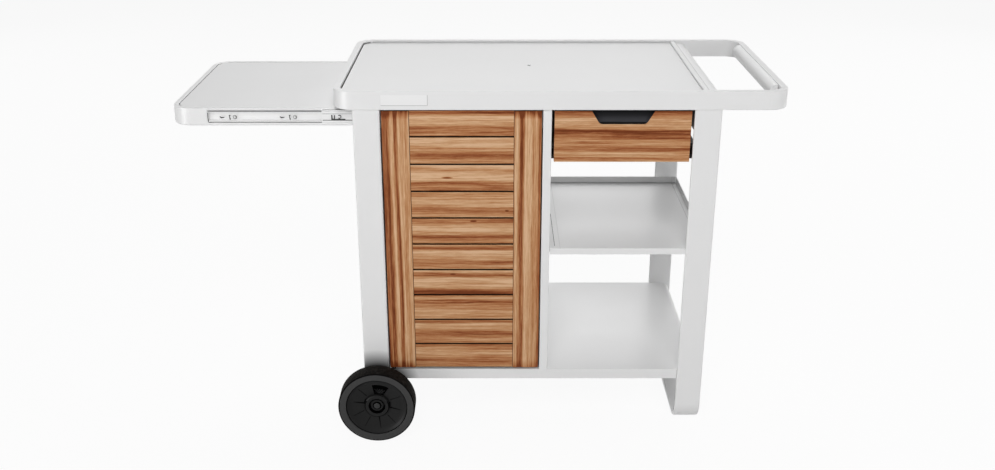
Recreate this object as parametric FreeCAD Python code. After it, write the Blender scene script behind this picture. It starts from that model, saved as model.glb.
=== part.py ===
import FreeCAD, Part
import math
import os

# Grill cart with storage. Millimetres, +X to the right, +Y to the back, +Z up.
# The origin is on the floor, under the middle of the cart with its side table drawn out.

os.makedirs("parts", exist_ok=True)
Vector = FreeCAD.Vector

# Driving dimensions: the worktop and its rim
top_length = 1000.0
top_depth = 540.0
top_height = 830.0
rim_height = 42.0
rim_wall = 15.0
rim_corner_radius = 45.0
rim_edge_radius = 1.5
sheet = 2.0
worktop_drop = 6.0
worktop_gap = 3.0
worktop_skirt = 16.0
worktop_ledge_width = 12.0
worktop_hole_radius = 2.75
worktop_hole_from_left = 437.7
strip_width = 13.0
strip_drop = 1.0
strip_height = 14.0
strip_seam = 1.0
strip_back_seam = 0.6
strip_corner_radius = 5.0
strip_edge_radius = 3.0
cross_member_width = 28.0
cross_member_radius = 19.0
cross_member_tab = 20.0
stiffener_width = 30.0
stiffener_spacing = 220.0
stiffener_wall = 2.0

# Driving dimensions: the handle at the right end
handle_reach = 146.7
grip_radius = 17.5
grip_wall_gap = 0.8
grip_drop = 1.0
grip_end_gap = 64.0
grip_end_radius = 1.0
grip_screw_radius = 3.0
grip_screw_depth = 12.0
grip_screw_end_distance = 50.0

# Driving dimensions: the bare badge plate on the front of the rim
badge_from_left = 106.5
badge_width = 103.4
badge_height = 24.6
badge_bottom_up = 10.0
badge_thickness = 0.8
badge_radius = 2.0

# Driving dimensions: legs, runner and rails
leg_width = 60.0
leg_thickness = 10.0
leg_setback = 3.0
leg_edge_radius = 4.0
left_leg_inset = 43.5
left_leg_foot = 55.0
left_leg_foot_radius = 28.0
runner_bend_radius = 50.0
rail_width = 30.0
rail_height = 12.0
rail_leg_inset = 15.0

# Driving dimensions: axle and wheels
axle_diameter = 12.0
axle_offset = 5.0
wheel_diameter = 180.0
wheel_width = 44.0
wheel_overhang = 80.0
tyre_thickness = 18.0
tyre_shoulder = 1.5
hub_boss_radius = 28.0
hub_boss_recess = 7.0
hub_dish_depth = 14.0
hub_window_inner = 29.0
hub_window_outer = 56.0
hub_window_angle = 33.0
hub_window_turn = 11.0
hub_window_depth = 9.0
cap_radius = 8.0
cap_proud = 5.0
spacer_radius = 11.0
washer_radius = 14.0
washer_thickness = 1.5

# Driving dimensions: shelves, divider and panels
panel_setback = 5.0
divider_thickness = 19.0
divider_edge_radius = 1.5
drawer_bay_width = 312.5
bottom_shelf_top = 147.0
bottom_shelf_skirt = 25.0
bottom_shelf_end_inset = 10.0
bottom_shelf_left_inset = 5.0
bottom_shelf_back_inset = 23.0
bottom_shelf_bend_radius = 12.0
bottom_shelf_corner_radius = 28.0
bottom_shelf_nose_radius = 3.0
middle_shelf_top = 459.0
middle_shelf_lip = 15.0
middle_shelf_setback = 8.0
middle_shelf_upstand = 18.0
middle_shelf_back_inset = 75.0
middle_shelf_end_inset = 12.0
middle_shelf_corner_cut = 3.0
middle_shelf_nose = 14.0
middle_shelf_lip_gap = 2.0
middle_shelf_border = 11.0
crease_width = 1.0
crease_depth = 0.8
shelf_angle_width = 12.4
shelf_angle_height = 14.0
shelf_angle_ledge = 10.0
shelf_angle_gap = 1.0
side_panel_inset = 8.0
side_panel_top_gap = 6.0

# Driving dimensions: the slatted door
door_thickness = 14.0
door_side_gap = 2.5
door_bottom_gap = 5.2
door_top_gap = 2.0
door_edge_radius = 2.0
stile_width = 61.0
slat_pitch = 63.9
slat_groove = 2.6
slat_recess = 1.5
batten_width = 30.0
batten_thickness = 6.0
batten_margin = 22.0
batten_inset = 34.0
pivot_from_edge = 8.0
pivot_depth = 5.0
pivot_pin_radius = 2.5
pivot_pin_in_door = 20.0
pivot_pin_out = 7.5
strike_width = 24.0
strike_height = 16.0
strike_thickness = 1.0
catch_width = 30.0
catch_height = 14.0
catch_from_edge = 12.0

# Driving dimensions: the drawer
drawer_front_height = 118.0
drawer_front_thickness = 14.0
drawer_front_gap = 6.0
drawer_front_radius = 1.5
grip_notch_top_width = 140.0
grip_notch_bottom_width = 102.0
grip_notch_depth = 31.0
grip_notch_radius = 8.0
grip_insert_wall = 2.5
grip_insert_setback = 0.6
drawer_box_depth = 461.0
drawer_box_bottom_up = 6.0
drawer_box_height = 96.0
drawer_slide_up = 21.0
drawer_slide_length = 450.0
drawer_slide_start = 21.0
drawer_leg_clearance = 0.4
drawer_rail_thickness = 6.0
drawer_rail_height = 34.0
top_beam_thickness = 6.0
top_beam_height = 47.0

# Driving dimensions: the side table that draws out of the left end
table_reach = 366.0
table_length = 450.0
table_inset = 41.2
table_drop = 48.0
table_rim_height = 40.8
table_wall = 12.0
table_corner_radius = 45.0
table_back_corner_radius = 8.0
table_edge_radius = 3.0
table_panel_drop = 1.0
table_panel_gap = 1.5
table_ledge_width = 8.0
table_ledge_height = 6.0
table_flange = 16.0

# Driving dimensions: the ball bearing slides
table_slide_heights = (45.7, 36.0, 26.0)
drawer_slide_heights = (35.3, 27.0, 17.0)
slide_race_gap = 0.3
slide_sheet = 1.2
slide_depth = 10.1
slide_middle_back = 3.0
slide_middle_web_back = 5.5
slide_inner_back = 8.0
slide_inner_edge = 3.5
drawer_slide_total_depth = 12.7
table_slide_centre_drop = 67.5
table_slide_recess = 6.0
table_slide_recess_margin = 1.2
table_slide_recess_from_left = 83.0
table_slide_end_gap = 9.5
table_slide_middle_length = 298.0
table_slide_middle_proud = 27.7
slide_table_gap = 0.4
table_rail_thickness = 4.0
table_rail_flange = 4.0
latch_length = 31.0
latch_height = 12.0
latch_from_end = 21.0
latch_back = 3.3
screw_radius = 3.5
screw_head = 1.2
screw_shares = (0.15, 0.5, 0.85)

# Clearances between parts
body_gap = 0.3
running_gap = 0.05
fit_gap = 0.1

# Places worked out from the sizes above
front = -top_depth / 2
back = top_depth / 2
rim_left = (table_reach - top_length) / 2
rim_right = rim_left + top_length
rim_bottom = top_height - rim_height
inner_left = rim_left + rim_wall
inner_right = rim_right - rim_wall
inner_front = front + rim_wall
inner_back = back - rim_wall
leg_front = front + leg_setback
leg_back = leg_front + leg_thickness
left_leg_x0 = rim_left + left_leg_inset
left_leg_x1 = left_leg_x0 + leg_width
right_leg_x1 = rim_right - handle_reach
right_leg_x0 = right_leg_x1 - leg_width
divider_x1 = right_leg_x0 - drawer_bay_width
divider_x0 = divider_x1 - divider_thickness
face_front = front + panel_setback
worktop_top = top_height - worktop_drop
worktop_under = worktop_top - sheet
cross_member_x0 = right_leg_x1 - cross_member_width
strip_x1 = cross_member_x0 - strip_back_seam
strip_x0 = strip_x1 - strip_width
worktop_front = inner_front + worktop_gap
axle_x = (left_leg_x0 + left_leg_x1) / 2 + axle_offset
axle_z = wheel_diameter / 2
axle_radius = axle_diameter / 2
wheel_outer_y = front - wheel_overhang
wheel_inner_y = wheel_outer_y + wheel_width
back_panel_front = inner_back
back_panel_back = back - leg_setback - leg_thickness
shelf_back = back - bottom_shelf_back_inset
shelf_x0 = left_leg_x0 + bottom_shelf_left_inset
shelf_x1 = right_leg_x1 - bottom_shelf_end_inset
table_top = top_height - table_drop
table_bottom = table_top - table_rim_height
table_x0 = rim_left - table_reach
table_x1 = table_x0 + table_length
table_front = front + table_inset
table_slide_z = top_height - table_slide_centre_drop
table_slide_front = table_front - slide_table_gap - slide_depth
table_rail_front = table_slide_front - table_rail_thickness
slide_x0 = inner_left + rim_corner_radius - rim_wall + body_gap
slide_x1 = divider_x0 - table_slide_end_gap
door_x0 = left_leg_x1 + door_side_gap
door_x1 = divider_x0 - door_side_gap
door_bottom = bottom_shelf_top + door_bottom_gap
door_top = rim_bottom - door_top_gap
door_back = face_front + door_thickness
pivot_x = door_x0 + pivot_from_edge
pivot_y = face_front + pivot_depth
drawer_x0 = divider_x1 + drawer_front_gap
drawer_x1 = right_leg_x0 - drawer_front_gap
drawer_top = rim_bottom - door_top_gap
drawer_bottom = drawer_top - drawer_front_height
drawer_back = face_front + drawer_front_thickness
shelf_angle_x1 = divider_x1 + shelf_angle_width
drawer_rail_x0 = right_leg_x0 - drawer_leg_clearance + slide_middle_back
drawer_slide_z = drawer_bottom + drawer_slide_up
drawer_box_x0 = divider_x1 + drawer_slide_total_depth
drawer_box_x1 = drawer_rail_x0 - drawer_slide_total_depth
drawer_box_bottom = drawer_bottom + drawer_box_bottom_up


def save(name, *solids):
    """Write one sub-part, which may be a group of separate solids."""
    shape = solids[0] if len(solids) == 1 else Part.makeCompound(list(solids))
    shape.exportStep("parts/" + name + ".step")


def block(x0, x1, y0, y1, z0, z1):
    return Part.makeBox(x1 - x0, y1 - y0, z1 - z0, Vector(x0, y0, z0))


def rod_along_y(radius, x, z, y0, y1):
    return Part.makeCylinder(radius, y1 - y0, Vector(x, y0, z), Vector(0, 1, 0))


def rod_along_z(radius, x, y, z0, z1):
    return Part.makeCylinder(radius, z1 - z0, Vector(x, y, z0), Vector(0, 0, 1))


def rod_along_x(radius, y, z, x0, x1):
    return Part.makeCylinder(radius, x1 - x0, Vector(x0, y, z), Vector(1, 0, 0))


def mirrored(shape):
    """The same piece on the other side, front to back."""
    return shape.mirror(Vector(0, 0, 0), Vector(0, 1, 0))


def edges_where(shape, test):
    """The edges whose middle point and direction pass the test."""
    found = []
    for edge in shape.Edges:
        middle = edge.valueAt((edge.FirstParameter + edge.LastParameter) / 2)
        along = edge.tangentAt((edge.FirstParameter + edge.LastParameter) / 2)
        if test(middle, along):
            found.append(edge)
    return found


def near(a, b):
    return abs(a - b) < 1e-4


def is_vertical(along):
    return abs(along.z) > 0.999


def plan_rounded(x0, x1, y0, y1, z0, z1, left_radius, right_radius):
    """A block whose four upright corners are rounded, left and right ends apart."""
    solid = block(x0, x1, y0, y1, z0, z1)
    for x, radius in ((x0, left_radius), (x1, right_radius)):
        corners = edges_where(solid, lambda m, a, x=x: is_vertical(a) and near(m.x, x))
        solid = solid.makeFillet(radius, corners)
    return solid


def soften(solid, radius, test):
    return solid.makeFillet(radius, edges_where(solid, test))


# The worktop and its rim

def top_rim():
    outer = plan_rounded(rim_left, rim_right, front, back, rim_bottom, top_height,
                         rim_corner_radius, rim_corner_radius)
    inner_radius = rim_corner_radius - rim_wall
    inner = plan_rounded(inner_left, inner_right, inner_front, inner_back,
                         rim_bottom, top_height, inner_radius, inner_radius)
    ring = outer.cut(inner)
    ring = soften(ring, rim_edge_radius,
                  lambda m, a: near(m.z, top_height) or near(m.z, rim_bottom))
    pivot_hole = rod_along_z(pivot_pin_radius + running_gap, pivot_x, pivot_y,
                             rim_bottom - 1, door_top + pivot_pin_out + door_top_gap + 1)
    ring = ring.cut(pivot_hole)
    for solid in grip_screws():
        ring = ring.cut(solid)
    return ring


def badge_plate():
    x0 = rim_left + badge_from_left
    z0 = rim_bottom + badge_bottom_up
    plate = block(x0, x0 + badge_width, front - badge_thickness, front, z0, z0 + badge_height)
    return soften(plate, badge_radius, lambda m, a: abs(a.y) > 0.999)


def worktop_panel():
    """The sheet of the worktop, with a gap all round it and a skirt in front and behind."""
    x0 = inner_left + worktop_gap
    x1 = strip_x0 - strip_seam
    radius = rim_corner_radius - rim_wall - worktop_gap
    plate = block(x0, x1, worktop_front, -worktop_front, worktop_under, worktop_top)
    plate = soften(plate, radius, lambda m, a: is_vertical(a) and near(m.x, x0))
    skirt = block(x0 + radius, x1, worktop_front, worktop_front + sheet,
                  worktop_under - worktop_skirt, worktop_under)
    end_skirt = block(x0, x0 + sheet, worktop_front + radius, -worktop_front - radius,
                      worktop_under - worktop_skirt, worktop_under)
    plate = plate.fuse([skirt, mirrored(skirt), end_skirt]).removeSplitter()
    hole = rod_along_z(worktop_hole_radius, rim_left + worktop_hole_from_left, 0,
                       worktop_under - 1, worktop_top + 1)
    return plate.cut(hole)


def worktop_strip():
    """The raised strip that ends the worktop, rounded at both ends."""
    top = top_height - strip_drop
    strip = plan_rounded(strip_x0, strip_x1, worktop_front, -worktop_front,
                         top - strip_height, top, strip_corner_radius, strip_corner_radius)
    return soften(strip, strip_edge_radius, lambda m, a: near(m.z, top))


def cross_member():
    """A folded channel, open below, with a rounded outer top edge and a tab at each end."""
    bar = block(cross_member_x0, right_leg_x1, worktop_front, -worktop_front, rim_bottom, worktop_top)
    bar = soften(bar, cross_member_radius,
                 lambda m, a: near(m.z, worktop_top) and near(m.x, right_leg_x1))
    hollow = block(cross_member_x0 + sheet, right_leg_x1 - sheet, worktop_front, -worktop_front,
                   rim_bottom, worktop_top - sheet)
    hollow = soften(hollow, cross_member_radius - sheet,
                    lambda m, a: near(m.z, worktop_top - sheet) and near(m.x, right_leg_x1 - sheet))
    tab = block(cross_member_x0, right_leg_x1, inner_front, worktop_front + cross_member_tab,
                rim_bottom, rim_bottom + sheet)
    return bar.cut(hollow).fuse([tab, mirrored(tab)]).removeSplitter()


def worktop_stiffeners():
    """Two channels under the sheet, and a ledge inside the rim that its skirts stand on."""
    y0 = stiffener_spacing / 2 - stiffener_width / 2
    y1 = y0 + stiffener_width
    x0 = inner_left + worktop_gap + sheet
    passage = block(x0, cross_member_x0, y0, y1, rim_bottom, worktop_under)
    hollow = block(x0, cross_member_x0, y0 + stiffener_wall, y1 - stiffener_wall,
                   rim_bottom, worktop_under - stiffener_wall)
    strip_notch = block(strip_x0 - strip_seam, cross_member_x0, y0, y1,
                        top_height - strip_drop - strip_height, worktop_under)
    channel = passage.cut(hollow).cut(strip_notch)
    ledge = worktop_ledge().cut(passage).cut(mirrored(passage))
    return [channel, mirrored(channel)] + ledge.Solids


def worktop_ledge():
    """The flat ledge along the rim's left, front and back walls."""
    top = worktop_under - worktop_skirt
    radius = rim_corner_radius - rim_wall
    inset = worktop_ledge_width
    outer = block(inner_left, strip_x0 - strip_seam, inner_front, inner_back, top - sheet, top)
    outer = soften(outer, radius, lambda m, a: is_vertical(a) and near(m.x, inner_left))
    inner = block(inner_left + inset, strip_x0 - strip_seam, inner_front + inset, inner_back - inset,
                  top - sheet, top)
    inner = soften(inner, radius - inset, lambda m, a: is_vertical(a) and near(m.x, inner_left + inset))
    return outer.cut(inner)


# The handle

def handle_grip():
    """A half-round bar, flat side to the end band, with its ends cut square."""
    y0 = front + grip_end_gap
    flat_x = inner_right - grip_wall_gap
    z = top_height - grip_drop - grip_radius
    bar = rod_along_y(grip_radius, flat_x, z, y0, -y0)
    bar = bar.cut(block(flat_x, flat_x + grip_radius, y0, -y0, z - grip_radius, z + grip_radius))
    bar = soften(bar, grip_end_radius, lambda m, a: near(abs(m.y), -y0) and m.x < flat_x - 1)
    for solid in grip_screws():
        bar = bar.cut(solid)
    return bar


def grip_screws():
    """Two screws from the outside of the end band into the grip."""
    z = top_height - grip_drop - grip_radius
    y = front + grip_end_gap + grip_screw_end_distance
    shank = rod_along_x(grip_screw_radius, y, z, inner_right - grip_screw_depth, rim_right)
    return shank, mirrored(shank)


# Legs, runner and rails

def left_leg():
    """A flat bar from the rim down to the axle, with a rounded foot."""
    bar = block(left_leg_x0, left_leg_x1, leg_front, leg_back, left_leg_foot, rim_bottom)
    bar = soften(bar, left_leg_foot_radius,
                 lambda m, a: abs(a.y) > 0.999 and near(m.z, left_leg_foot))
    bar = soften(bar, leg_edge_radius,
                 lambda m, a: is_vertical(a) and (near(m.x, left_leg_x0) or near(m.x, left_leg_x1)))
    return bar.cut(rod_along_y(axle_radius + fit_gap, axle_x, axle_z, leg_front - 1, leg_back + 1))


def right_leg_loop():
    """One flat bar bent into a loop: front leg, floor runner, back leg."""
    outer = block(right_leg_x0, right_leg_x1, leg_front, -leg_front, 0, rim_bottom)
    outer = soften(outer, runner_bend_radius, lambda m, a: abs(a.x) > 0.999 and near(m.z, 0))
    inner = block(right_leg_x0, right_leg_x1, leg_back, -leg_back, leg_thickness, rim_bottom)
    inner = soften(inner, runner_bend_radius - leg_thickness,
                   lambda m, a: abs(a.x) > 0.999 and near(m.z, leg_thickness))
    loop = outer.cut(inner)
    return soften(loop, leg_edge_radius,
                  lambda m, a: (near(m.x, right_leg_x0) or near(m.x, right_leg_x1))
                  and not near(m.z, rim_bottom))


def rail(x0, top):
    """A flat rail that runs from a front leg to the back leg behind it."""
    return block(x0, x0 + rail_width, leg_back, -leg_back, top - rail_height, top)


def drawer_rail():
    z = drawer_slide_z
    return block(drawer_rail_x0, drawer_rail_x0 + drawer_rail_thickness, leg_back, -leg_back,
                 z - drawer_rail_height / 2, z + drawer_rail_height / 2)


def right_top_beam():
    return block(right_leg_x0, right_leg_x0 + top_beam_thickness, leg_back, -leg_back,
                 rim_bottom - top_beam_height, rim_bottom)


def table_rail():
    """An angle bar inside the front of the rim that carries one table slide."""
    z0 = table_slide_z - table_slide_heights[0] / 2
    top = rim_bottom + table_rail_flange
    web = block(slide_x0, divider_x0, table_rail_front, table_slide_front, z0, top)
    flange = block(slide_x0, divider_x0, inner_front, table_rail_front, rim_bottom, top)
    return web.fuse(flange).removeSplitter()


# Axle and wheels

def axle():
    y0 = wheel_outer_y + hub_dish_depth - body_gap - cap_proud + sheet
    return rod_along_y(axle_radius, axle_x, axle_z, y0, -y0)


def axle_spacer():
    """The tube that holds the wheel clear of the leg."""
    y0 = wheel_inner_y
    tube = rod_along_y(spacer_radius, axle_x, axle_z, y0, leg_front)
    return tube.cut(rod_along_y(axle_radius, axle_x, axle_z, y0, leg_front))


def axle_washer():
    tube = rod_along_y(washer_radius, axle_x, axle_z, leg_back, leg_back + washer_thickness)
    return tube.cut(rod_along_y(axle_radius, axle_x, axle_z, leg_back, leg_back + washer_thickness))


def axle_cap():
    """The push-on cap that keeps the wheel on the axle."""
    y1 = wheel_outer_y + hub_dish_depth - body_gap
    y0 = y1 - cap_proud
    cap = rod_along_y(cap_radius, axle_x, axle_z, y0, y1)
    cap = soften(cap, cap_proud / 4, lambda m, a: near(m.y, y0))
    return cap.cut(rod_along_y(axle_radius, axle_x, axle_z, y0 + sheet, y1))


def turned(points):
    """Turn a profile of (radius, depth) points about the axle; depth runs inwards."""
    corners = [Vector(axle_x + r, wheel_outer_y + w, axle_z) for r, w in points]
    face = Part.Face(Part.makePolygon(corners + [corners[0]]))
    return face.revolve(Vector(axle_x, 0, axle_z), Vector(0, 1, 0), 360)


def tyre():
    outer = wheel_diameter / 2
    inner = outer - tyre_thickness
    ring = turned([(inner, 0), (outer, 0), (outer, wheel_width), (inner, wheel_width)])
    return soften(ring, tyre_shoulder, lambda m, a: near(edge_radius(m), outer)
                  and (near(m.y, wheel_outer_y) or near(m.y, wheel_inner_y)))


def edge_radius(point):
    return math.hypot(point.x - axle_x, point.z - axle_z)


def wheel_hub():
    outer = wheel_diameter / 2 - tyre_thickness
    lip = 3.0
    bore = axle_radius + running_gap
    dish = hub_dish_depth
    profile = [(bore, dish), (hub_boss_radius - 9, dish), (hub_boss_radius - 7, hub_boss_recess + 1),
               (hub_boss_radius - 5, hub_boss_recess), (hub_boss_radius - 1, hub_boss_recess),
               (hub_boss_radius, hub_boss_recess + 1), (hub_boss_radius, dish),
               (outer - 6, dish - 6), (outer - 2, lip), (outer, lip),
               (outer, wheel_width - lip), (outer - 2, wheel_width - lip),
               (outer - 6, wheel_width - 8), (hub_boss_radius, wheel_width - 14),
               (hub_boss_radius - 6, wheel_width - body_gap), (bore, wheel_width - body_gap)]
    hub = turned(profile)
    return hub.cut(hub_window()).removeSplitter()


def hub_window():
    """The sunk window near the top of the wheel's face, a little to the right."""
    ring = turned([(hub_window_inner, 0), (hub_window_outer, 0),
                   (hub_window_outer, hub_dish_depth + hub_window_depth),
                   (hub_window_inner, hub_dish_depth + hub_window_depth)])
    reach = wheel_diameter
    corners = [Vector(axle_x, wheel_outer_y, axle_z)]
    for turn in (hub_window_turn - hub_window_angle / 2, hub_window_turn + hub_window_angle / 2):
        angle = math.radians(turn)
        corners.append(Vector(axle_x + reach * math.sin(angle), wheel_outer_y,
                              axle_z + reach * math.cos(angle)))
    wedge = Part.Face(Part.makePolygon(corners + [corners[0]])).extrude(Vector(0, wheel_width, 0))
    return ring.common(wedge)


# Shelves, divider and panels

def bottom_shelf():
    """A folded tray turned upside down, with a nose that fills the front between the legs."""
    z0 = bottom_shelf_top - bottom_shelf_skirt
    nose_x0 = left_leg_x1 + body_gap
    nose_x1 = right_leg_x0 - body_gap
    solid = shelf_solid(0, z0, nose_x0, nose_x1)
    hollow = shelf_solid(sheet, z0, nose_x0, nose_x1)
    shelf = solid.cut(hollow)
    hole = rod_along_z(pivot_pin_radius + running_gap, pivot_x, pivot_y, z0, bottom_shelf_top + 1)
    return shelf.cut(hole)


def shelf_solid(inset, z0, nose_x0, nose_x1):
    """The outer form of the bottom shelf, or its hollow when inset by the sheet."""
    top = bottom_shelf_top - inset
    x1 = shelf_x1 - inset
    body = block(shelf_x0 + inset, x1, leg_back + inset, shelf_back - inset, z0, top)
    body = soften(body, bottom_shelf_corner_radius - inset,
                  lambda m, a: is_vertical(a) and near(m.x, x1) and m.y > 0)
    body = soften(body, bottom_shelf_bend_radius - inset,
                  lambda m, a: near(m.z, top) and (near(m.x, x1) or m.x > x1 - bottom_shelf_corner_radius)
                  and not (abs(a.x) > 0.999 and m.y < 0))
    nose = block(nose_x0 + inset, nose_x1 - inset, face_front + inset, leg_back + inset, z0, top)
    nose = soften(nose, bottom_shelf_nose_radius - inset,
                  lambda m, a: is_vertical(a) and near(m.y, face_front + inset))
    return body.fuse(nose).removeSplitter()


def middle_shelf():
    """An open tray with a lip in front, upstands at the back and right, and two pressed creases."""
    floor = middle_shelf_top - sheet
    x0 = shelf_angle_x1 + shelf_angle_gap
    x1 = right_leg_x1 - middle_shelf_end_inset
    y1 = back - middle_shelf_back_inset
    lip_front = front + middle_shelf_setback
    nose_x0 = divider_x1 + middle_shelf_lip_gap
    nose_x1 = right_leg_x0 - body_gap
    top = middle_shelf_top + middle_shelf_upstand
    cut = middle_shelf_corner_cut
    body = block(x0, x1, leg_back, y1, floor, middle_shelf_top)
    nose = block(nose_x0, nose_x1, lip_front, lip_front + middle_shelf_nose, floor, middle_shelf_top)
    lip = block(nose_x0, nose_x1, lip_front, lip_front + sheet,
                middle_shelf_top - middle_shelf_lip, floor)
    back_stand = block(x0, x1 - cut, y1 - sheet, y1, middle_shelf_top, top)
    right_stand = block(x1 - sheet, x1, leg_back + cut, y1 - cut, middle_shelf_top, top)
    shelf = body.fuse([nose, lip, back_stand, right_stand]).removeSplitter()
    shelf = soften(shelf, sheet - 0.5,
                   lambda m, a: near(m.z, middle_shelf_top) and near(m.y, lip_front))
    for x in (x0 + middle_shelf_border, x1 - sheet - middle_shelf_border):
        shelf = shelf.cut(block(x, x + crease_width, lip_front + middle_shelf_nose, y1 - sheet,
                                middle_shelf_top - crease_depth, middle_shelf_top))
    return shelf


def shelf_angle():
    """The angle on the divider that carries the left side of the middle shelf."""
    y0 = front + middle_shelf_setback + middle_shelf_nose + body_gap
    y1 = back - middle_shelf_back_inset
    floor = middle_shelf_top - sheet
    cover = block(divider_x1, shelf_angle_x1, y0, y1, floor, middle_shelf_top)
    ledge = block(divider_x1, shelf_angle_x1 + shelf_angle_ledge, y0, y1, floor - sheet, floor)
    wall = block(divider_x1, divider_x1 + sheet, y0, y1,
                 middle_shelf_top - shelf_angle_height, floor - sheet)
    return cover.fuse([ledge, wall]).removeSplitter()


def divider_panel():
    """A folded sheet panel, hollow inside and open at the top and bottom."""
    panel = block(divider_x0, divider_x1, face_front, back_panel_front, bottom_shelf_top, rim_bottom)
    panel = soften(panel, divider_edge_radius, lambda m, a: is_vertical(a) and near(m.y, face_front))
    hollow = block(divider_x0 + sheet, divider_x1 - sheet, face_front + sheet,
                   back_panel_front - sheet, bottom_shelf_top, rim_bottom)
    return panel.cut(hollow)


def left_side_panel():
    x0 = left_leg_x0 + side_panel_inset
    return block(x0, x0 + sheet, leg_back, back_panel_front,
                 bottom_shelf_top, table_bottom - side_panel_top_gap)


def back_panel():
    return block(left_leg_x0, divider_x1, back_panel_front, back_panel_back,
                 bottom_shelf_top - bottom_shelf_skirt, rim_bottom)


# The slatted door

def stile(x0):
    bar = block(x0, x0 + stile_width, face_front, door_back, door_bottom, door_top)
    bar = soften(bar, door_edge_radius, lambda m, a: is_vertical(a))
    for solid in door_pins():
        bar = bar.cut(solid)
    return bar


def slats():
    """The boards of the door, bottom to top; the top one is cut to fit."""
    boards = []
    x0 = door_x0 + stile_width
    x1 = door_x1 - stile_width
    z = door_bottom
    while z < door_top - slat_groove:
        z1 = min(z + slat_pitch - slat_groove, door_top)
        board = block(x0, x1, face_front + slat_recess, door_back, z, z1)
        boards.append(soften(board, slat_recess / 2,
                             lambda m, a: abs(a.x) > 0.999 and near(m.y, face_front + slat_recess)))
        z += slat_pitch
    return boards


def door_battens():
    """Two upright battens that hold the slats from behind."""
    z0 = door_bottom + batten_margin
    z1 = table_slide_z - table_slide_heights[0] / 2 - batten_margin
    left = door_x0 + stile_width + batten_inset
    right = door_x1 - stile_width - batten_inset - batten_width
    return [block(x, x + batten_width, door_back, door_back + batten_thickness, z0, z1)
            for x in (left, right)]


def door_cleats():
    """Flat cleats across the back of the door that tie the stiles to the battens."""
    z0 = door_bottom + batten_margin
    z1 = table_slide_z - table_slide_heights[0] / 2 - batten_margin
    x0 = door_x0 + pivot_from_edge * 2
    x1 = door_x1 - catch_from_edge
    inner_x0 = door_x0 + stile_width + batten_inset + batten_width
    inner_x1 = door_x1 - stile_width - batten_inset - batten_width
    pieces = []
    for z in (z0, z1 - batten_width):
        pieces.append(block(x0, inner_x0 - batten_width, door_back, door_back + batten_thickness,
                            z, z + batten_width))
        pieces.append(block(inner_x0, inner_x1, door_back, door_back + batten_thickness,
                            z, z + batten_width))
        pieces.append(block(inner_x1 + batten_width, x1, door_back, door_back + batten_thickness,
                            z, z + batten_width))
    return pieces


def door_pins():
    """The pins that the door turns on, one into the rim and one into the bottom shelf."""
    upper = rod_along_z(pivot_pin_radius, pivot_x, pivot_y,
                        door_top - pivot_pin_in_door, door_top + door_top_gap + pivot_pin_out)
    lower = rod_along_z(pivot_pin_radius, pivot_x, pivot_y,
                        door_bottom - door_bottom_gap - pivot_pin_out, door_bottom + pivot_pin_in_door)
    return upper, lower


def pivot_washer():
    """The thin washer that carries the door's weight on the bottom shelf."""
    ring = rod_along_z(pivot_pin_radius * 2, pivot_x, pivot_y, bottom_shelf_top, door_bottom - body_gap)
    return ring.cut(rod_along_z(pivot_pin_radius + running_gap, pivot_x, pivot_y,
                                bottom_shelf_top, door_bottom))


def door_strike():
    x1 = door_x1 - catch_from_edge
    z1 = door_top - strike_height / 2
    return block(x1 - strike_width, x1, door_back, door_back + strike_thickness, z1 - strike_height, z1)


def door_catch():
    """The magnet catch on the front table rail."""
    x1 = door_x1 - catch_from_edge + (catch_width - strike_width) / 2
    z1 = door_top - strike_height / 2 - (strike_height - catch_height) / 2
    return block(x1 - catch_width, x1, door_back + strike_thickness + body_gap, table_rail_front,
                 z1 - catch_height, z1)


# Ball bearing slides, drawn in their own frame: x along, y from the fixed side, z up

def slide_outer(x0, x1, heights):
    half = heights[0] / 2
    race = heights[1] / 2 + slide_race_gap
    web = block(x0, x1, 0, slide_sheet, -half, half)
    upper = block(x0, x1, 0, slide_depth, race, half)
    lower = block(x0, x1, 0, slide_depth, -half, -race)
    return web.fuse([upper, lower]).removeSplitter()


def slide_middle(x0, x1, heights):
    half = heights[1] / 2
    race = heights[2] / 2 + slide_race_gap
    web = block(x0, x1, slide_middle_web_back, slide_middle_web_back + slide_sheet, -race, race)
    upper = block(x0, x1, slide_middle_back, slide_depth, race, half)
    lower = block(x0, x1, slide_middle_back, slide_depth, -half, -race)
    upper = soften(upper, slide_sheet, lambda m, a: abs(a.x) > 0.999 and near(m.z, half))
    lower = soften(lower, slide_sheet, lambda m, a: abs(a.x) > 0.999 and near(m.z, -half))
    return web.fuse([upper, lower]).removeSplitter()


def slide_inner(x0, x1, heights, total_depth):
    half = heights[2] / 2
    inside = half - slide_inner_edge
    web = block(x0, x1, total_depth - slide_sheet, total_depth, -half, half)
    upper = block(x0, x1, slide_inner_back, total_depth, inside, half)
    lower = block(x0, x1, slide_inner_back, total_depth, -half, -inside)
    return web.fuse([upper, lower]).removeSplitter()


def slide_screws(places):
    """The flat heads of the screws that hold a slide's fixed member."""
    return [rod_along_y(screw_radius, x, 0, slide_sheet, slide_sheet + screw_head)
            for x in places]


def on_table_rail(shape):
    """Place a slide piece on the front table rail."""
    return shape.translated(Vector(0, table_slide_front, table_slide_z))


def on_drawer_rail(shape):
    """Place a slide piece on the rail at the drawer's right."""
    turned_shape = shape.rotated(Vector(0, 0, 0), Vector(0, 0, 1), 90)
    return turned_shape.translated(Vector(drawer_rail_x0, 0, drawer_slide_z))


def on_divider(shape):
    """The same slide piece at the drawer's left, on the divider."""
    return on_drawer_rail(shape).mirror(Vector((drawer_rail_x0 + divider_x1) / 2, 0, 0), Vector(1, 0, 0))


# The side table

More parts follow.
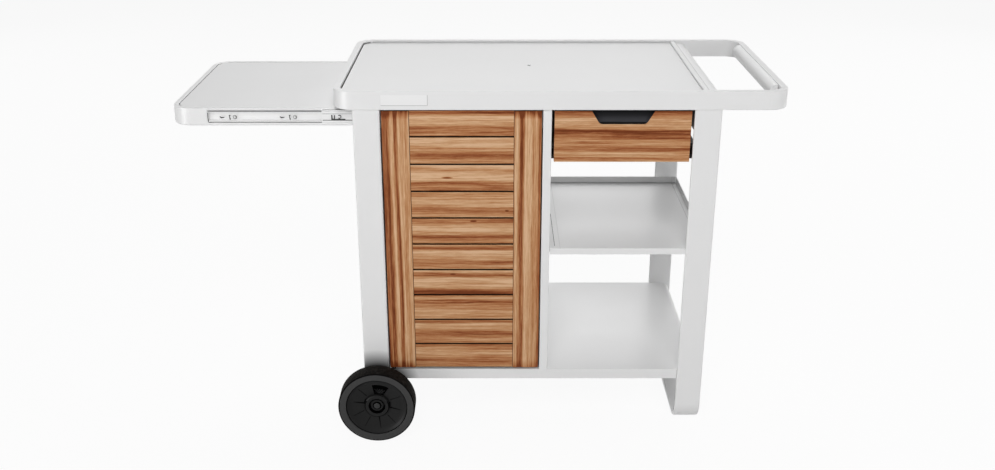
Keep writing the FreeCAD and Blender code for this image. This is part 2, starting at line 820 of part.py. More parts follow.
def table_rim():
    """A deep rim, flanged below, with a slide's recess in each side and a ledge at the left."""
    outer = plan_rounded(table_x0, table_x1, table_front, -table_front, table_bottom, table_top,
                         table_corner_radius, table_back_corner_radius)
    inside_x0 = table_x0 + table_wall
    inside_x1 = table_x1 - table_wall
    inside_y = table_front + table_wall
    inside_radius = table_corner_radius - table_wall
    inner = block(inside_x0, inside_x1, inside_y, -inside_y, table_bottom + sheet, table_top)
    inner = soften(inner, inside_radius, lambda m, a: is_vertical(a) and near(m.x, inside_x0))
    opening = plan_rounded(inside_x0 + table_flange, inside_x1 - table_flange,
                           inside_y + table_flange, -inside_y - table_flange,
                           table_bottom, table_bottom + sheet, inside_radius / 2, inside_radius / 2)
    ring = outer.cut(inner).cut(opening)
    ring = soften(ring, table_edge_radius,
                  lambda m, a: near(m.z, table_top) or outer_bottom_edge(m))
    half = table_slide_heights[2] / 2 + table_slide_recess_margin
    recess = block(table_x0 + table_slide_recess_from_left, table_x1,
                   table_front, table_front + table_slide_recess,
                   table_slide_z - half, table_slide_z + half)
    ledge_top = table_top - table_panel_drop - sheet
    ledge = block(inside_x0, inside_x0 + table_ledge_width,
                  inside_y + inside_radius, -inside_y - inside_radius,
                  ledge_top - table_ledge_height, ledge_top)
    return ring.cut(recess).cut(mirrored(recess)).fuse(ledge)


def outer_bottom_edge(m):
    """True for the outside bottom edge of the table's rim."""
    inside = (table_x0 + table_wall < m.x < table_x1 - table_wall
              and abs(m.y) < -table_front - table_wall)
    return near(m.z, table_bottom) and not inside


def table_panel():
    x0 = table_x0 + table_wall + table_panel_gap
    x1 = table_x1 - table_wall
    y = table_front + table_wall
    top = table_top - table_panel_drop
    radius = table_corner_radius - table_wall
    plate = block(x0, x1, y, -y, top - sheet, top)
    return soften(plate, radius, lambda m, a: is_vertical(a) and near(m.x, x0))


def slide_latch():
    """The lever that unlocks the table slide, in the channel of its middle member."""
    x0 = middle_x0 + latch_from_end
    z = latch_height / 2
    body = block(x0, x0 + latch_length, latch_back, slide_middle_web_back, -z, -z + latch_height / 4)
    post = block(x0, x0 + latch_length / 5, latch_back, slide_middle_web_back, -z, z)
    knob = rod_along_y(latch_height / 3, x0 + latch_length * 0.55, latch_height / 8,
                       latch_back, slide_middle_web_back)
    return body.fuse([post, knob]).removeSplitter()


# The drawer

def notch_shape(inset, y0, y1):
    """The hand hold cut in the drawer's top edge: wide at the top, rounded below."""
    centre = (drawer_x0 + drawer_x1) / 2
    half_top = grip_notch_top_width / 2 - inset
    half_bottom = grip_notch_bottom_width / 2 - inset
    z0 = drawer_top - grip_notch_depth + inset
    corners = [Vector(centre - half_top, y0, drawer_top), Vector(centre - half_bottom, y0, z0),
               Vector(centre + half_bottom, y0, z0), Vector(centre + half_top, y0, drawer_top)]
    face = Part.Face(Part.makePolygon(corners + [corners[0]]))
    solid = face.extrude(Vector(0, y1 - y0, 0))
    return soften(solid, grip_notch_radius - inset, lambda m, a: abs(a.y) > 0.999 and near(m.z, z0))


def drawer_front():
    panel = block(drawer_x0, drawer_x1, face_front, drawer_back, drawer_bottom, drawer_top)
    panel = soften(panel, drawer_front_radius, lambda m, a: near(m.y, face_front))
    return panel.cut(notch_shape(0, face_front - 1, drawer_back + 1))


def drawer_grip_insert():
    """The black cup pressed into the hand hold, open in front and above."""
    y0 = face_front + grip_insert_setback
    cup = notch_shape(0, y0, drawer_back)
    return cup.cut(notch_shape(grip_insert_wall, y0 - 1, drawer_back - grip_insert_wall))


def drawer_box():
    y1 = drawer_back + drawer_box_depth
    z1 = drawer_box_bottom + drawer_box_height
    outer = block(drawer_box_x0, drawer_box_x1, drawer_back, y1, drawer_box_bottom, z1)
    inner = block(drawer_box_x0 + sheet, drawer_box_x1 - sheet, drawer_back + sheet, y1 - sheet,
                  drawer_box_bottom + sheet, z1)
    return outer.cut(inner)


# Where the slides lie at rest: the table is drawn out and the drawer is shut
middle_x0 = rim_left - table_slide_middle_proud
middle_x1 = middle_x0 + table_slide_middle_length
table_inner_x0 = table_x0 + table_slide_recess_from_left + table_slide_recess_margin
table_inner_x1 = table_x1 - table_slide_recess_margin
table_inner_depth = table_front + table_slide_recess - table_slide_front
drawer_slide_y0 = front + drawer_slide_start
drawer_slide_y1 = drawer_slide_y0 + drawer_slide_length
screw_places = [slide_x0 + (slide_x1 - slide_x0) * share for share in screw_shares]
drawer_screw_places = [drawer_slide_y0 + drawer_slide_length * share for share in screw_shares]

# Write the frame
save("top_rim", top_rim())
save("badge_plate", badge_plate())
save("worktop_panel", worktop_panel())
save("worktop_strip", worktop_strip())
save("cross_member", cross_member())
save("worktop_stiffeners", *worktop_stiffeners())
save("handle_grip", handle_grip())
save("handle_screws", *grip_screws())
save("left_front_leg", left_leg())
save("left_back_leg", mirrored(left_leg()))
save("right_leg_loop", right_leg_loop())
save("shelf_rails", rail(left_leg_x0 + rail_leg_inset, bottom_shelf_top - bottom_shelf_skirt),
     rail(right_leg_x0 + rail_leg_inset, bottom_shelf_top - bottom_shelf_skirt),
     rail(right_leg_x0 + rail_leg_inset, middle_shelf_top - sheet), shelf_angle())
save("drawer_rail", drawer_rail())
save("right_top_beam", right_top_beam())
save("table_rail_front", table_rail())
save("table_rail_back", mirrored(table_rail()))
save("bottom_shelf", bottom_shelf())
save("middle_shelf", middle_shelf())
save("divider_panel", divider_panel())
save("left_side_panel", left_side_panel())
save("back_panel", back_panel())
save("door_catch", door_catch())
save("door_pivot_washer", pivot_washer())

# Write the axle and the wheels
save("axle", axle())
save("axle_spacers", axle_spacer(), mirrored(axle_spacer()))
save("axle_washers", axle_washer(), mirrored(axle_washer()))
save("axle_caps", axle_cap(), mirrored(axle_cap()))
save("front_tyre", tyre())
save("front_wheel_hub", wheel_hub())
save("back_tyre", mirrored(tyre()))
save("back_wheel_hub", mirrored(wheel_hub()))

# Write the door
save("door_stile_left", stile(door_x0))
save("door_stile_right", stile(door_x1 - stile_width))
for number, board in enumerate(slats(), start=1):
    save("door_slat_%02d" % number, board)
save("door_battens", *door_battens(), *door_cleats())
save("door_pins", *door_pins())
save("door_strike", door_strike())

# Write the drawer
save("drawer_front", drawer_front())
save("drawer_grip_insert", drawer_grip_insert())
save("drawer_box", drawer_box())
outer_member = slide_outer(drawer_slide_y0, drawer_slide_y1, drawer_slide_heights)
middle_member = slide_middle(drawer_slide_y0, drawer_slide_y1, drawer_slide_heights)
inner_member = slide_inner(drawer_slide_y0, drawer_slide_y1, drawer_slide_heights,
                           drawer_slide_total_depth)
save("drawer_slide_outers", on_divider(outer_member), on_drawer_rail(outer_member))
save("drawer_slide_middles", on_divider(middle_member), on_drawer_rail(middle_member))
save("drawer_slide_inners", on_divider(inner_member), on_drawer_rail(inner_member))

# Write the side table
table_outer = on_table_rail(slide_outer(slide_x0, slide_x1, table_slide_heights))
table_middle = on_table_rail(slide_middle(middle_x0, middle_x1, table_slide_heights))
table_inner = on_table_rail(slide_inner(table_inner_x0, table_inner_x1, table_slide_heights,
                                        table_inner_depth))
latch = on_table_rail(slide_latch())
table_screws = [on_table_rail(piece) for piece in slide_screws(screw_places)]
drawer_screws = [on_drawer_rail(piece) for piece in slide_screws(drawer_screw_places)]
divider_screws = [on_divider(piece) for piece in slide_screws(drawer_screw_places)]
save("table_rim", table_rim())
save("table_panel", table_panel())
save("table_slide_outers", table_outer, mirrored(table_outer))
save("table_slide_middles", table_middle, mirrored(table_middle))
save("table_slide_inners", table_inner, mirrored(table_inner))
save("table_slide_latches", latch, mirrored(latch))
save("slide_screws", *table_screws, *[mirrored(piece) for piece in table_screws],
     *drawer_screws, *divider_screws)
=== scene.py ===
import math

import bmesh
import bpy
from mathutils import Matrix, Vector


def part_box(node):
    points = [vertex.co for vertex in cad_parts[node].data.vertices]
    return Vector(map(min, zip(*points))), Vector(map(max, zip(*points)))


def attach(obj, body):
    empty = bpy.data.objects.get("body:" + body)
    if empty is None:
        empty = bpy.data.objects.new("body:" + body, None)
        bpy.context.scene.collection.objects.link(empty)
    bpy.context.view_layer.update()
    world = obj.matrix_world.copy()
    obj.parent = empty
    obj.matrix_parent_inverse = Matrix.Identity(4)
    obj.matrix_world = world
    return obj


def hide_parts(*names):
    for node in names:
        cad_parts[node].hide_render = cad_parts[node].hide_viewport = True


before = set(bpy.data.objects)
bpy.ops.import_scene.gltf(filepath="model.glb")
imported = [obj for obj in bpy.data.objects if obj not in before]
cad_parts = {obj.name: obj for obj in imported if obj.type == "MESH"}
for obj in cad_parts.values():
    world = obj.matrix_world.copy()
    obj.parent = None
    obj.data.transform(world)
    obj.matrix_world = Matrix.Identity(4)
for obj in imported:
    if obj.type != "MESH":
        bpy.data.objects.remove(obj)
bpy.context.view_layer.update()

# Camera. A long-ish lens looks down on the cart from in front of the worktop's middle.
# The sizes come from the straight edges of the photograph, 995 by 470 pixels.
photo_width = 995
focal_pixels = 1108.028
axis_pixel = 493.771
look_down = 21.886
viewpoint = (0.0363, -2.60999, 1.435234)


def placed(name, data):
    """A new object with this data, put in the scene."""
    thing = bpy.data.objects.new(name, data)
    bpy.context.scene.collection.objects.link(thing)
    return thing


camera_data = bpy.data.cameras.new("camera")
camera_data.sensor_width = 36.0
camera_data.lens = focal_pixels / photo_width * camera_data.sensor_width
camera_data.shift_x = (photo_width / 2 - axis_pixel) / photo_width
camera_data.clip_end = 50.0
camera = placed("camera", camera_data)
camera.location = viewpoint
camera.rotation_euler = (math.radians(90 - look_down), 0.0, 0.0)
bpy.context.scene.camera = camera
bpy.context.scene.view_settings.view_transform = "Standard"


# Studio. A pale floor and an even white surround, seen by the camera as plain white,
# with soft boxes round the cart that light it at a plain level.
def node_tree(owner):
    """Empty an owner's node tree and give back its nodes and links."""
    owner.use_nodes = True
    owner.node_tree.nodes.clear()
    return owner.node_tree.nodes, owner.node_tree.links


def arithmetic(nodes, links, operation, first, second):
    """Work out one step of arithmetic on two values, each a number or a node's output."""
    node = nodes.new("ShaderNodeMath")
    node.operation = operation
    for socket, value in zip(node.inputs, (first, second)):
        if isinstance(value, float):
            socket.default_value = value
        else:
            links.new(value, socket)
    return node.outputs[0]


def seen_directly(nodes, links):
    """1 for camera, mirror and see-through rays, 0 for the light that falls on things."""
    path = nodes.new("ShaderNodeLightPath")
    rays = [path.outputs[kind] for kind in ("Is Camera Ray", "Is Glossy Ray", "Is Transmission Ray")]
    first_two = arithmetic(nodes, links, "MAXIMUM", rays[0], rays[1])
    return arithmetic(nodes, links, "MAXIMUM", first_two, rays[2])


def white_light(nodes, kind, strength):
    """A white background or emission of this strength."""
    light = nodes.new(kind)
    light.inputs["Color"].default_value = (1.0, 1.0, 1.0, 1.0)
    light.inputs["Strength"].default_value = strength
    return light


def blended(nodes, links, factor, first, second):
    """The first shader where the factor is 0, the second where it is 1."""
    mix = nodes.new("ShaderNodeMixShader")
    links.new(factor, mix.inputs["Fac"])
    links.new(first.outputs[0], mix.inputs[1])
    links.new(second.outputs[0], mix.inputs[2])
    return mix.outputs["Shader"]


sky_strength = 0.06
world = bpy.data.worlds.new("studio")
bpy.context.scene.world = world
nodes, links = node_tree(world)
sky = white_light(nodes, "ShaderNodeBackground", sky_strength)
white = white_light(nodes, "ShaderNodeBackground", 1.0)
links.new(blended(nodes, links, seen_directly(nodes, links), sky, white),
          nodes.new("ShaderNodeOutputWorld").inputs["Surface"])

floor_size = 24.0
floor_grey = 0.65
floor_glow = 1.03
glow_share = 0.9
floor_mesh = bmesh.new()
bmesh.ops.create_grid(floor_mesh, x_segments=1, y_segments=1, size=floor_size / 2)
floor_data = bpy.data.meshes.new("floor")
floor_mesh.to_mesh(floor_data)
floor_mesh.free()
floor = placed("floor", floor_data)
floor_material = bpy.data.materials.new("pale_floor")
nodes, links = node_tree(floor_material)
diffuse = nodes.new("ShaderNodeBsdfDiffuse")
diffuse.inputs["Color"].default_value = (floor_grey, floor_grey, floor_grey, 1.0)
glow = white_light(nodes, "ShaderNodeEmission", floor_glow)
share = arithmetic(nodes, links, "MULTIPLY", seen_directly(nodes, links), glow_share)
links.new(blended(nodes, links, share, diffuse, glow),
          nodes.new("ShaderNodeOutputMaterial").inputs["Surface"])
floor_data.materials.append(floor_material)


# Soft boxes round the cart: (place, size, watts). The strongest are in front of it and above.
# Four of them show in the coat's gloss; the card is there only for the highlight on its left edges.
soft_boxes = {
    "front_top": ((0.0, -3.5, 3.0), 2.5, 95.0),
    "left_front_low": ((-4.0, -3.0, 0.8), 2.0, 74.0),
    "right_front_low": ((4.0, -3.0, 0.8), 2.0, 30.0),
    "right": ((4.5, 0.5, 1.5), 2.5, 45.0),
    "back_top": ((0.0, 3.2, 3.8), 3.0, 82.0),
    "back_left": ((-3.5, 3.5, 2.0), 2.5, 20.0),
    "back_right": ((3.5, 3.5, 2.0), 2.5, 28.0),
    "highlight_card": ((-3.5, -2.6, 0.7), 0.7, 105.0),
}
lit_middle = Vector((0.0, 0.0, 0.45))
shown_in_gloss = ("left_front_low", "right_front_low", "back_top", "highlight_card")
for name, (place, size, watts) in soft_boxes.items():
    lamp_data = bpy.data.lights.new(name, "AREA")
    lamp_data.shape = "SQUARE"
    lamp_data.size = size
    lamp_data.energy = watts
    lamp = placed(name, lamp_data)
    lamp.location = place
    lamp.rotation_euler = (lit_middle - lamp.location).to_track_quat("-Z", "Y").to_euler()
    lamp.visible_camera = False
    lamp.visible_glossy = name in shown_in_gloss
    lamp.visible_diffuse = name != "highlight_card"


# White powder coat of the frame, the panels and the table. It is baked paint on steel sheet:
# nearly even, with a faint orange-peel surface and a soft gloss.
def principled(name):
    """A new material: its nodes, its links and its shader, already joined to the output."""
    material = bpy.data.materials.new(name)
    nodes, links = node_tree(material)
    shader = nodes.new("ShaderNodeBsdfPrincipled")
    links.new(shader.outputs["BSDF"], nodes.new("ShaderNodeOutputMaterial").inputs["Surface"])
    return material, nodes, links, shader


def noise(nodes, links, coordinates, scale, detail=3.0, roughness=0.5):
    """A noise pattern read at these coordinates."""
    texture = nodes.new("ShaderNodeTexNoise")
    texture.inputs["Scale"].default_value = scale
    texture.inputs["Detail"].default_value = detail
    texture.inputs["Roughness"].default_value = roughness
    links.new(coordinates, texture.inputs["Vector"])
    return texture.outputs["Fac"]


def object_place(nodes):
    """The place on the object."""
    return nodes.new("ShaderNodeTexCoord").outputs["Object"]


def grey(level):
    """A neutral grey."""
    return (level, level, level)


def ramp(nodes, links, value, stops):
    """A colour ramp with stops of (position, (r, g, b))."""
    node = nodes.new("ShaderNodeValToRGB")
    elements = node.color_ramp.elements
    while len(elements) < len(stops):
        elements.new(0.5)
    for element, (position, color) in zip(elements, stops):
        element.position = position
        element.color = (*color, 1.0)
    links.new(value, node.inputs["Fac"])
    return node.outputs["Color"]


def rough_surface(nodes, links, shader, height, strength, distance):
    """Join a height pattern to the shader as bump."""
    bump = nodes.new("ShaderNodeBump")
    bump.inputs["Strength"].default_value = strength
    bump.inputs["Distance"].default_value = distance
    links.new(height, bump.inputs["Height"])
    links.new(bump.outputs["Normal"], shader.inputs["Normal"])


def coat_surface(nodes, links, shader, place, roughness=0.34, peel=900.0):
    """The soft gloss and orange peel of powder coat."""
    shader.inputs["Roughness"].default_value = roughness
    rough_surface(nodes, links, shader, noise(nodes, links, place, peel, 2.0), 0.06, 0.0004)


def coated(name, light, dark, *surface):
    """Powder coat: a cloudy mix of two near shades over a fine orange-peel surface."""
    material, nodes, links, shader = principled(name)
    place = object_place(nodes)
    clouds = noise(nodes, links, place, 3.0, 4.0)
    links.new(ramp(nodes, links, clouds, [(0.35, dark), (0.65, light)]), shader.inputs["Base Color"])
    coat_surface(nodes, links, shader, place, *surface)
    return material


def paint(material, *names):
    """Give CAD nodes this material in place of their plain one."""
    for name in names:
        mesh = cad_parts[name].data
        mesh.materials.clear()
        mesh.materials.append(material)


coat_white = grey(0.82)
white_coat = coated("white_powder_coat", coat_white, grey(0.805))
paint(white_coat, "worktop_panel", "cross_member", "worktop_stiffeners", "handle_grip",
      "right_leg_loop", "shelf_rails", "table_rail_front", "table_rail_back", "divider_panel",
      "left_side_panel", "back_panel", "table_rim", "table_panel", "drawer_box")


# Zinc-plated steel of the side table's slides, the axle, the pins and the screws.
# Rolled and plated: a fine brushed line along the length and a low, uneven shine.
def plated(name, light, dark, roughness):
    """Zinc plate, brushed along X."""
    material, nodes, links, shader = principled(name)
    mapping = nodes.new("ShaderNodeMapping")
    mapping.inputs["Scale"].default_value = (9.0, 900.0, 900.0)
    links.new(object_place(nodes), mapping.inputs["Vector"])
    lines = noise(nodes, links, mapping.outputs["Vector"], 1.0, 3.0)
    links.new(ramp(nodes, links, lines, [(0.3, dark), (0.7, light)]), shader.inputs["Base Color"])
    shader.inputs["Metallic"].default_value = 0.3
    shader.inputs["Roughness"].default_value = roughness
    rough_surface(nodes, links, shader, lines, 0.05, 0.0002)
    return material


zinc = plated("zinc_plate", grey(0.85), grey(0.79), 0.36)
paint(zinc, "axle", "axle_washers", "door_pins", "door_strike", "slide_screws", "handle_screws",
      "table_slide_outers", "table_slide_inners")


# Black-coated steel of the drawer's slides, the rail that carries them and the beam above it. The
# coat is baked paint as on the white pieces, but rougher.
black_coat = coated("black_coat", (0.030, 0.026, 0.025), (0.020, 0.018, 0.018), 0.5, 700.0)
paint(black_coat, "drawer_slide_outers", "drawer_slide_middles", "drawer_slide_inners",
      "drawer_rail", "right_top_beam")


# Black moulded plastic of the door's catch and washer and of the axle's spacers. The hubs, caps,
# levers and hand hold are near shades of it. The mould is spark-eroded, so it has a fine matt grain.
def moulded(name, light, dark, roughness, fineness, shine=0.2):
    """Moulded plastic or rubber: two near shades in patches over a fine grain."""
    material, nodes, links, shader = principled(name)
    shader.inputs["Specular IOR Level"].default_value = shine
    place = object_place(nodes)
    patches = noise(nodes, links, place, 18.0, 3.0)
    links.new(ramp(nodes, links, patches, [(0.3, dark), (0.7, light)]), shader.inputs["Base Color"])
    shader.inputs["Roughness"].default_value = roughness
    speckle = noise(nodes, links, place, fineness, 3.0)
    rough_surface(nodes, links, shader, speckle, 0.18, 0.0004)
    return material


black_plastic = moulded("black_moulded_plastic", grey(0.020), grey(0.014), 0.42, 1500.0)
paint(black_plastic, "door_catch", "door_pivot_washer", "axle_spacers")


# Oiled softwood of the door and the drawer front. Each board is sawn from another plank, so each
# has its own dark and light streaks along the grain, and a dark joint line along its eased edges.
# The darker board ends are painted shade, and the line along a board's top is painted shadow under
# the rim.
wood_stops = [(0.0, (0.70, 0.450, 0.272)), (0.2, (0.585, 0.335, 0.175)),
              (0.4, (0.50, 0.247, 0.111)), (0.6, (0.40, 0.162, 0.065)),
              (0.8, (0.285, 0.087, 0.030)), (1.0, (0.155, 0.037, 0.010))]
joint_and_shadow_brown = (0.030, 0.013, 0.005)
end_shade_reach = 0.020


def object_axes(nodes, links):
    """The place on the object, whole and parted into X, Y and Z."""
    place = object_place(nodes)
    parts = nodes.new("ShaderNodeSeparateXYZ")
    links.new(place, parts.inputs[0])
    return place, parts.outputs


def sum_of_squares(nodes, links, first, second):
    """The square of the distance that these two lengths make."""
    return arithmetic(nodes, links, "ADD", arithmetic(nodes, links, "MULTIPLY", first, first),
                      arithmetic(nodes, links, "MULTIPLY", second, second))


def spread(nodes, links, value, low, high, first=0.0, last=1.0):
    """Spread the values from low to high over first to last, and hold them there outside."""
    node = nodes.new("ShaderNodeMapRange")
    for name, number in (("From Min", low), ("From Max", high), ("To Min", first), ("To Max", last)):
        node.inputs[name].default_value = number
    links.new(value, node.inputs["Value"])
    return node.outputs["Result"]


def grain(nodes, links, place, along, seed, length, width, detail, roughness, strength):
    """Streaks along the grain, above and below zero: so many per metre along it and across it."""
    mapping = nodes.new("ShaderNodeMapping")
    mapping.inputs["Location"].default_value = (seed * 3.7, seed * 1.3, seed * 2.9)
    scale = (width, width, length) if along == "Z" else (length, width, width)
    mapping.inputs["Scale"].default_value = scale
    links.new(place, mapping.inputs["Vector"])
    streaks = noise(nodes, links, mapping.outputs["Vector"], 1.0, detail, roughness)
    centred = arithmetic(nodes, links, "SUBTRACT", streaks, 0.5)
    return arithmetic(nodes, links, "MULTIPLY", centred, strength)


def knot(nodes, links, parts, x, z, length, height):
    """Extra darkness inside a small lens-shaped spot at x, z."""
    dx = arithmetic(nodes, links, "SUBTRACT", parts["X"], x)
    dz = arithmetic(nodes, links, "SUBTRACT", parts["Z"], z)
    square = sum_of_squares(nodes, links, arithmetic(nodes, links, "DIVIDE", dx, length / 2),
                            arithmetic(nodes, links, "DIVIDE", dz, height / 2))
    inside = arithmetic(nodes, links, "SUBTRACT", 1.0, square)
    return arithmetic(nodes, links, "MAXIMUM", inside, 0.0)


def board(node, along, bands, seed, knots=(), groove=0.0010, ends=(0.0, 0.0), top_shadow_line=0.0):
    """Paint one board. along is its grain; bands are (share of the width, darkness), low edge first.

    groove is the width of the dark joint line along its edges; the top line is the width of a
    painted shadow line along its top, under the rim; ends are how much darker its low and high ends
    are, as painted shade.
    """
    material, nodes, links, shader = principled(node + "_wood")
    place, parts = object_axes(nodes, links)
    low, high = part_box(node)
    across, lengthways = ("X", "Z") if along == "Z" else ("Z", "X")
    low_edge, high_edge = (low.x, high.x) if along == "Z" else (low.z, high.z)
    low_end, high_end = (low.z, high.z) if along == "Z" else (low.x, high.x)
    wobble = grain(nodes, links, place, along, seed * 0.53, 3.5, 14.0, 2.0, 0.5, 0.16)
    share = spread(nodes, links, parts[across], low_edge, high_edge)
    stops = [(position, grey(darkness)) for position, darkness in bands]
    total = ramp(nodes, links, arithmetic(nodes, links, "ADD", share, wobble), stops)
    broad = grain(nodes, links, place, along, seed, 1.6, 100.0, 4.0, 0.62, 1.15)
    dashes = grain(nodes, links, place, along, seed * 1.7, 8.0, 290.0, 3.0, 0.6, 1.3)
    pores = grain(nodes, links, place, along, seed * 2.3, 40.0, 700.0, 3.0, 0.7, 0.8)
    for streaks in (broad, dashes, pores):
        total = arithmetic(nodes, links, "ADD", total, streaks)
    for spot in knots:
        total = arithmetic(nodes, links, "ADD", total, knot(nodes, links, parts, *spot))
    for end, inwards, darker in ((low_end, end_shade_reach, ends[0]), (high_end, -end_shade_reach, ends[1])):
        if darker:
            shade = spread(nodes, links, parts[lengthways], end + inwards, end, 0.0, darker)
            total = arithmetic(nodes, links, "ADD", total, shade)
    color = ramp(nodes, links, total, wood_stops)
    sides = [(parts[across], low_edge, groove), (parts[across], high_edge, -groove)]
    if along == "X" and groove:
        sides += [(parts["X"], low_end, groove), (parts["X"], high_end, -groove)]
    if top_shadow_line:
        sides.append((parts["Z"], high.z, -top_shadow_line))
    edge = None
    for coordinate, line, inwards in sides:
        if inwards:
            near_line = spread(nodes, links, coordinate, line + inwards, line + inwards * 0.4)
            edge = arithmetic(nodes, links, "MAXIMUM", edge, near_line) if edge else near_line
    if edge:
        mix = nodes.new("ShaderNodeMix")
        mix.data_type = "RGBA"
        mix.inputs["B"].default_value = (*joint_and_shadow_brown, 1.0)
        links.new(edge, mix.inputs["Factor"])
        links.new(color, mix.inputs["A"])
        color = mix.outputs["Result"]
    links.new(color, shader.inputs["Base Color"])
    shader.inputs["Roughness"].default_value = 0.5
    shader.inputs["Specular IOR Level"].default_value = 0.12
    rough_surface(nodes, links, shader, arithmetic(nodes, links, "ADD", dashes, pores), 0.2, 0.0004)
    paint(material, node)


# The darkest stops at the top of slat 10 are painted shadow under the rim.
slat_bands = {
    1: [(0.0, 0.35), (0.2, 0.5), (0.3, 0.8), (0.42, 0.45), (0.55, 0.2),
        (0.72, 0.45), (0.9, 0.6), (1.0, 0.75)],
    2: [(0.0, 0.45), (0.15, 0.35), (0.35, 0.7), (0.5, 0.65), (0.62, 0.35),
        (0.8, 0.15), (0.9, 0.75), (1.0, 0.35)],
    3: [(0.0, 0.15), (0.2, 0.2), (0.4, 0.35), (0.6, 0.55), (0.78, 0.6),
        (0.86, 0.2), (0.94, 0.5), (1.0, 0.7)],
    4: [(0.0, 0.85), (0.14, 0.9), (0.25, 0.3), (0.45, 0.1), (0.65, 0.2),
        (0.78, 0.75), (0.86, 0.5), (0.95, 0.15)],
    5: [(0.0, 0.35), (0.15, 0.3), (0.3, 0.6), (0.42, 0.4), (0.6, 0.1),
        (0.75, 0.15), (0.85, 0.7), (0.95, 0.35)],
    6: [(0.0, 0.45), (0.15, 0.5), (0.32, 0.8), (0.42, 0.3), (0.6, 0.1),
        (0.78, 0.4), (0.92, 0.75), (1.0, 0.5)],
    7: [(0.0, 0.15), (0.1, 0.25), (0.25, 0.7), (0.38, 0.55), (0.5, 0.2),
        (0.7, 0.15), (0.85, 0.35), (1.0, 0.3)],
    8: [(0.0, 0.6), (0.15, 0.55), (0.28, 0.7), (0.4, 0.15), (0.65, 0.1),
        (0.8, 0.6), (0.9, 0.2), (1.0, 0.15)],
    9: [(0.0, 0.25), (0.15, 0.35), (0.3, 0.75), (0.42, 0.65), (0.55, 0.45),
        (0.75, 0.15), (0.9, 0.3), (1.0, 0.15)],
    10: [(0.0, 0.5), (0.15, 0.5), (0.3, 0.65), (0.42, 0.25), (0.6, 0.1),
         (0.75, 0.2), (0.86, 0.85), (0.94, 0.7), (1.0, 1.0)],
}
slat_knots = {8: [(-0.068, 0.6305, 0.030, 0.0056)], 4: [(-0.058, 0.395, 0.014, 0.0045)],
              6: [(-0.010, 0.5265, 0.018, 0.0050)], 7: [(0.066, 0.5515, 0.010, 0.0045)]}
for number, bands in slat_bands.items():
    board("door_slat_%02d" % number, "X", bands, float(number), slat_knots.get(number, ()))
# The stiles' darker ends are painted shade, and their top line is painted shadow under the rim.
board("door_stile_left", "Z",
      [(0.0, 0.95), (0.1, 0.8), (0.22, 0.85), (0.3, 0.55), (0.4, 0.15), (0.47, 0.6), (0.56, 0.85),
       (0.64, 0.15), (0.8, 0.35), (0.95, 0.15)],
      21.0, groove=0.0006, ends=(0.6, 0.7), top_shadow_line=0.0022)
board("door_stile_right", "Z",
      [(0.0, 0.4), (0.1, 0.1), (0.18, 0.5), (0.25, 0.95), (0.34, 0.75), (0.42, 0.1), (0.6, 0.15),
       (0.72, 0.45), (0.8, 0.25), (0.92, 0.6)],
      33.0, groove=0.0006, ends=(0.3, 0.9), top_shadow_line=0.0022)
board("door_battens", "Z", [(0.0, 0.3), (0.5, 0.4), (1.0, 0.3)], 41.0, groove=0.0)
# The drawer front's darkest stop, at its top, and its top line are painted shadow under the rim.
board("drawer_front", "X",
      [(0.0, 0.15), (0.07, 0.45), (0.13, 0.5), (0.17, 0.2), (0.24, 0.7), (0.29, 0.65), (0.34, 0.3),
       (0.42, 0.35), (0.47, 0.8), (0.6, 0.85), (0.66, 0.25), (0.8, 0.2), (0.88, 0.45), (1.0, 0.95)],
      57.0, groove=0.0, top_shadow_line=0.0022)


# Middle shelf. A tray folded from one steel sheet and coated white, with two pressed creases along
# it. Shade is painted darker in the creases, on the inner faces of the upstands and at their foot.
shelf_top = 0.459
crease_left, crease_right = 0.1887, 0.5118
back_stand, right_stand = 0.1930, 0.5223
painted_shade_grey = grey(0.30)


def within(nodes, links, coordinate, low, high):
    """1 between two places along an axis, 0 outside, with a soft edge."""
    soft = 0.0002
    after = spread(nodes, links, coordinate, low - soft, low)
    before = spread(nodes, links, coordinate, high + soft, high)
    return arithmetic(nodes, links, "MINIMUM", after, before)


def painted_shade_coat(name, marks):
    """White coat with painted shade in marks of (strength, limits), each limit (axis, low, high)."""
    material, nodes, links, shader = principled(name)
    place, parts = object_axes(nodes, links)
    shade_marks = None
    for strength, *limits in marks:
        mark = strength
        for axis, low, high in limits:
            inside = within(nodes, links, parts[axis], low, high)
            mark = arithmetic(nodes, links, "MULTIPLY", inside, mark)
        shade_marks = arithmetic(nodes, links, "MAXIMUM", shade_marks, mark) if shade_marks else mark
    clouds = arithmetic(nodes, links, "MULTIPLY", noise(nodes, links, place, 3.0, 4.0), 0.04)
    shade = ramp(nodes, links, arithmetic(nodes, links, "ADD", shade_marks, clouds),
                 [(0.0, coat_white), (1.0, painted_shade_grey)])
    links.new(shade, shader.inputs["Base Color"])
    coat_surface(nodes, links, shader, place)
    return material


upright = ("Z", shelf_top - 0.0010, 1.0)
paint(painted_shade_coat("shelf_painted_shade", [
    (0.25, ("X", crease_left - 0.0006, crease_left + 0.0006), upright),
    (0.50, ("X", crease_right - 0.0006, crease_right + 0.0006), upright),
    (0.80, ("Y", back_stand - 0.0018, back_stand + 0.0010),
     ("Z", shelf_top - 0.0010, shelf_top + 0.0030)),
    (0.30, ("Y", back_stand - 0.0004, back_stand + 0.0010), upright),
    (0.60, ("X", right_stand - 0.0004, right_stand + 0.0010), upright)]), "middle_shelf")


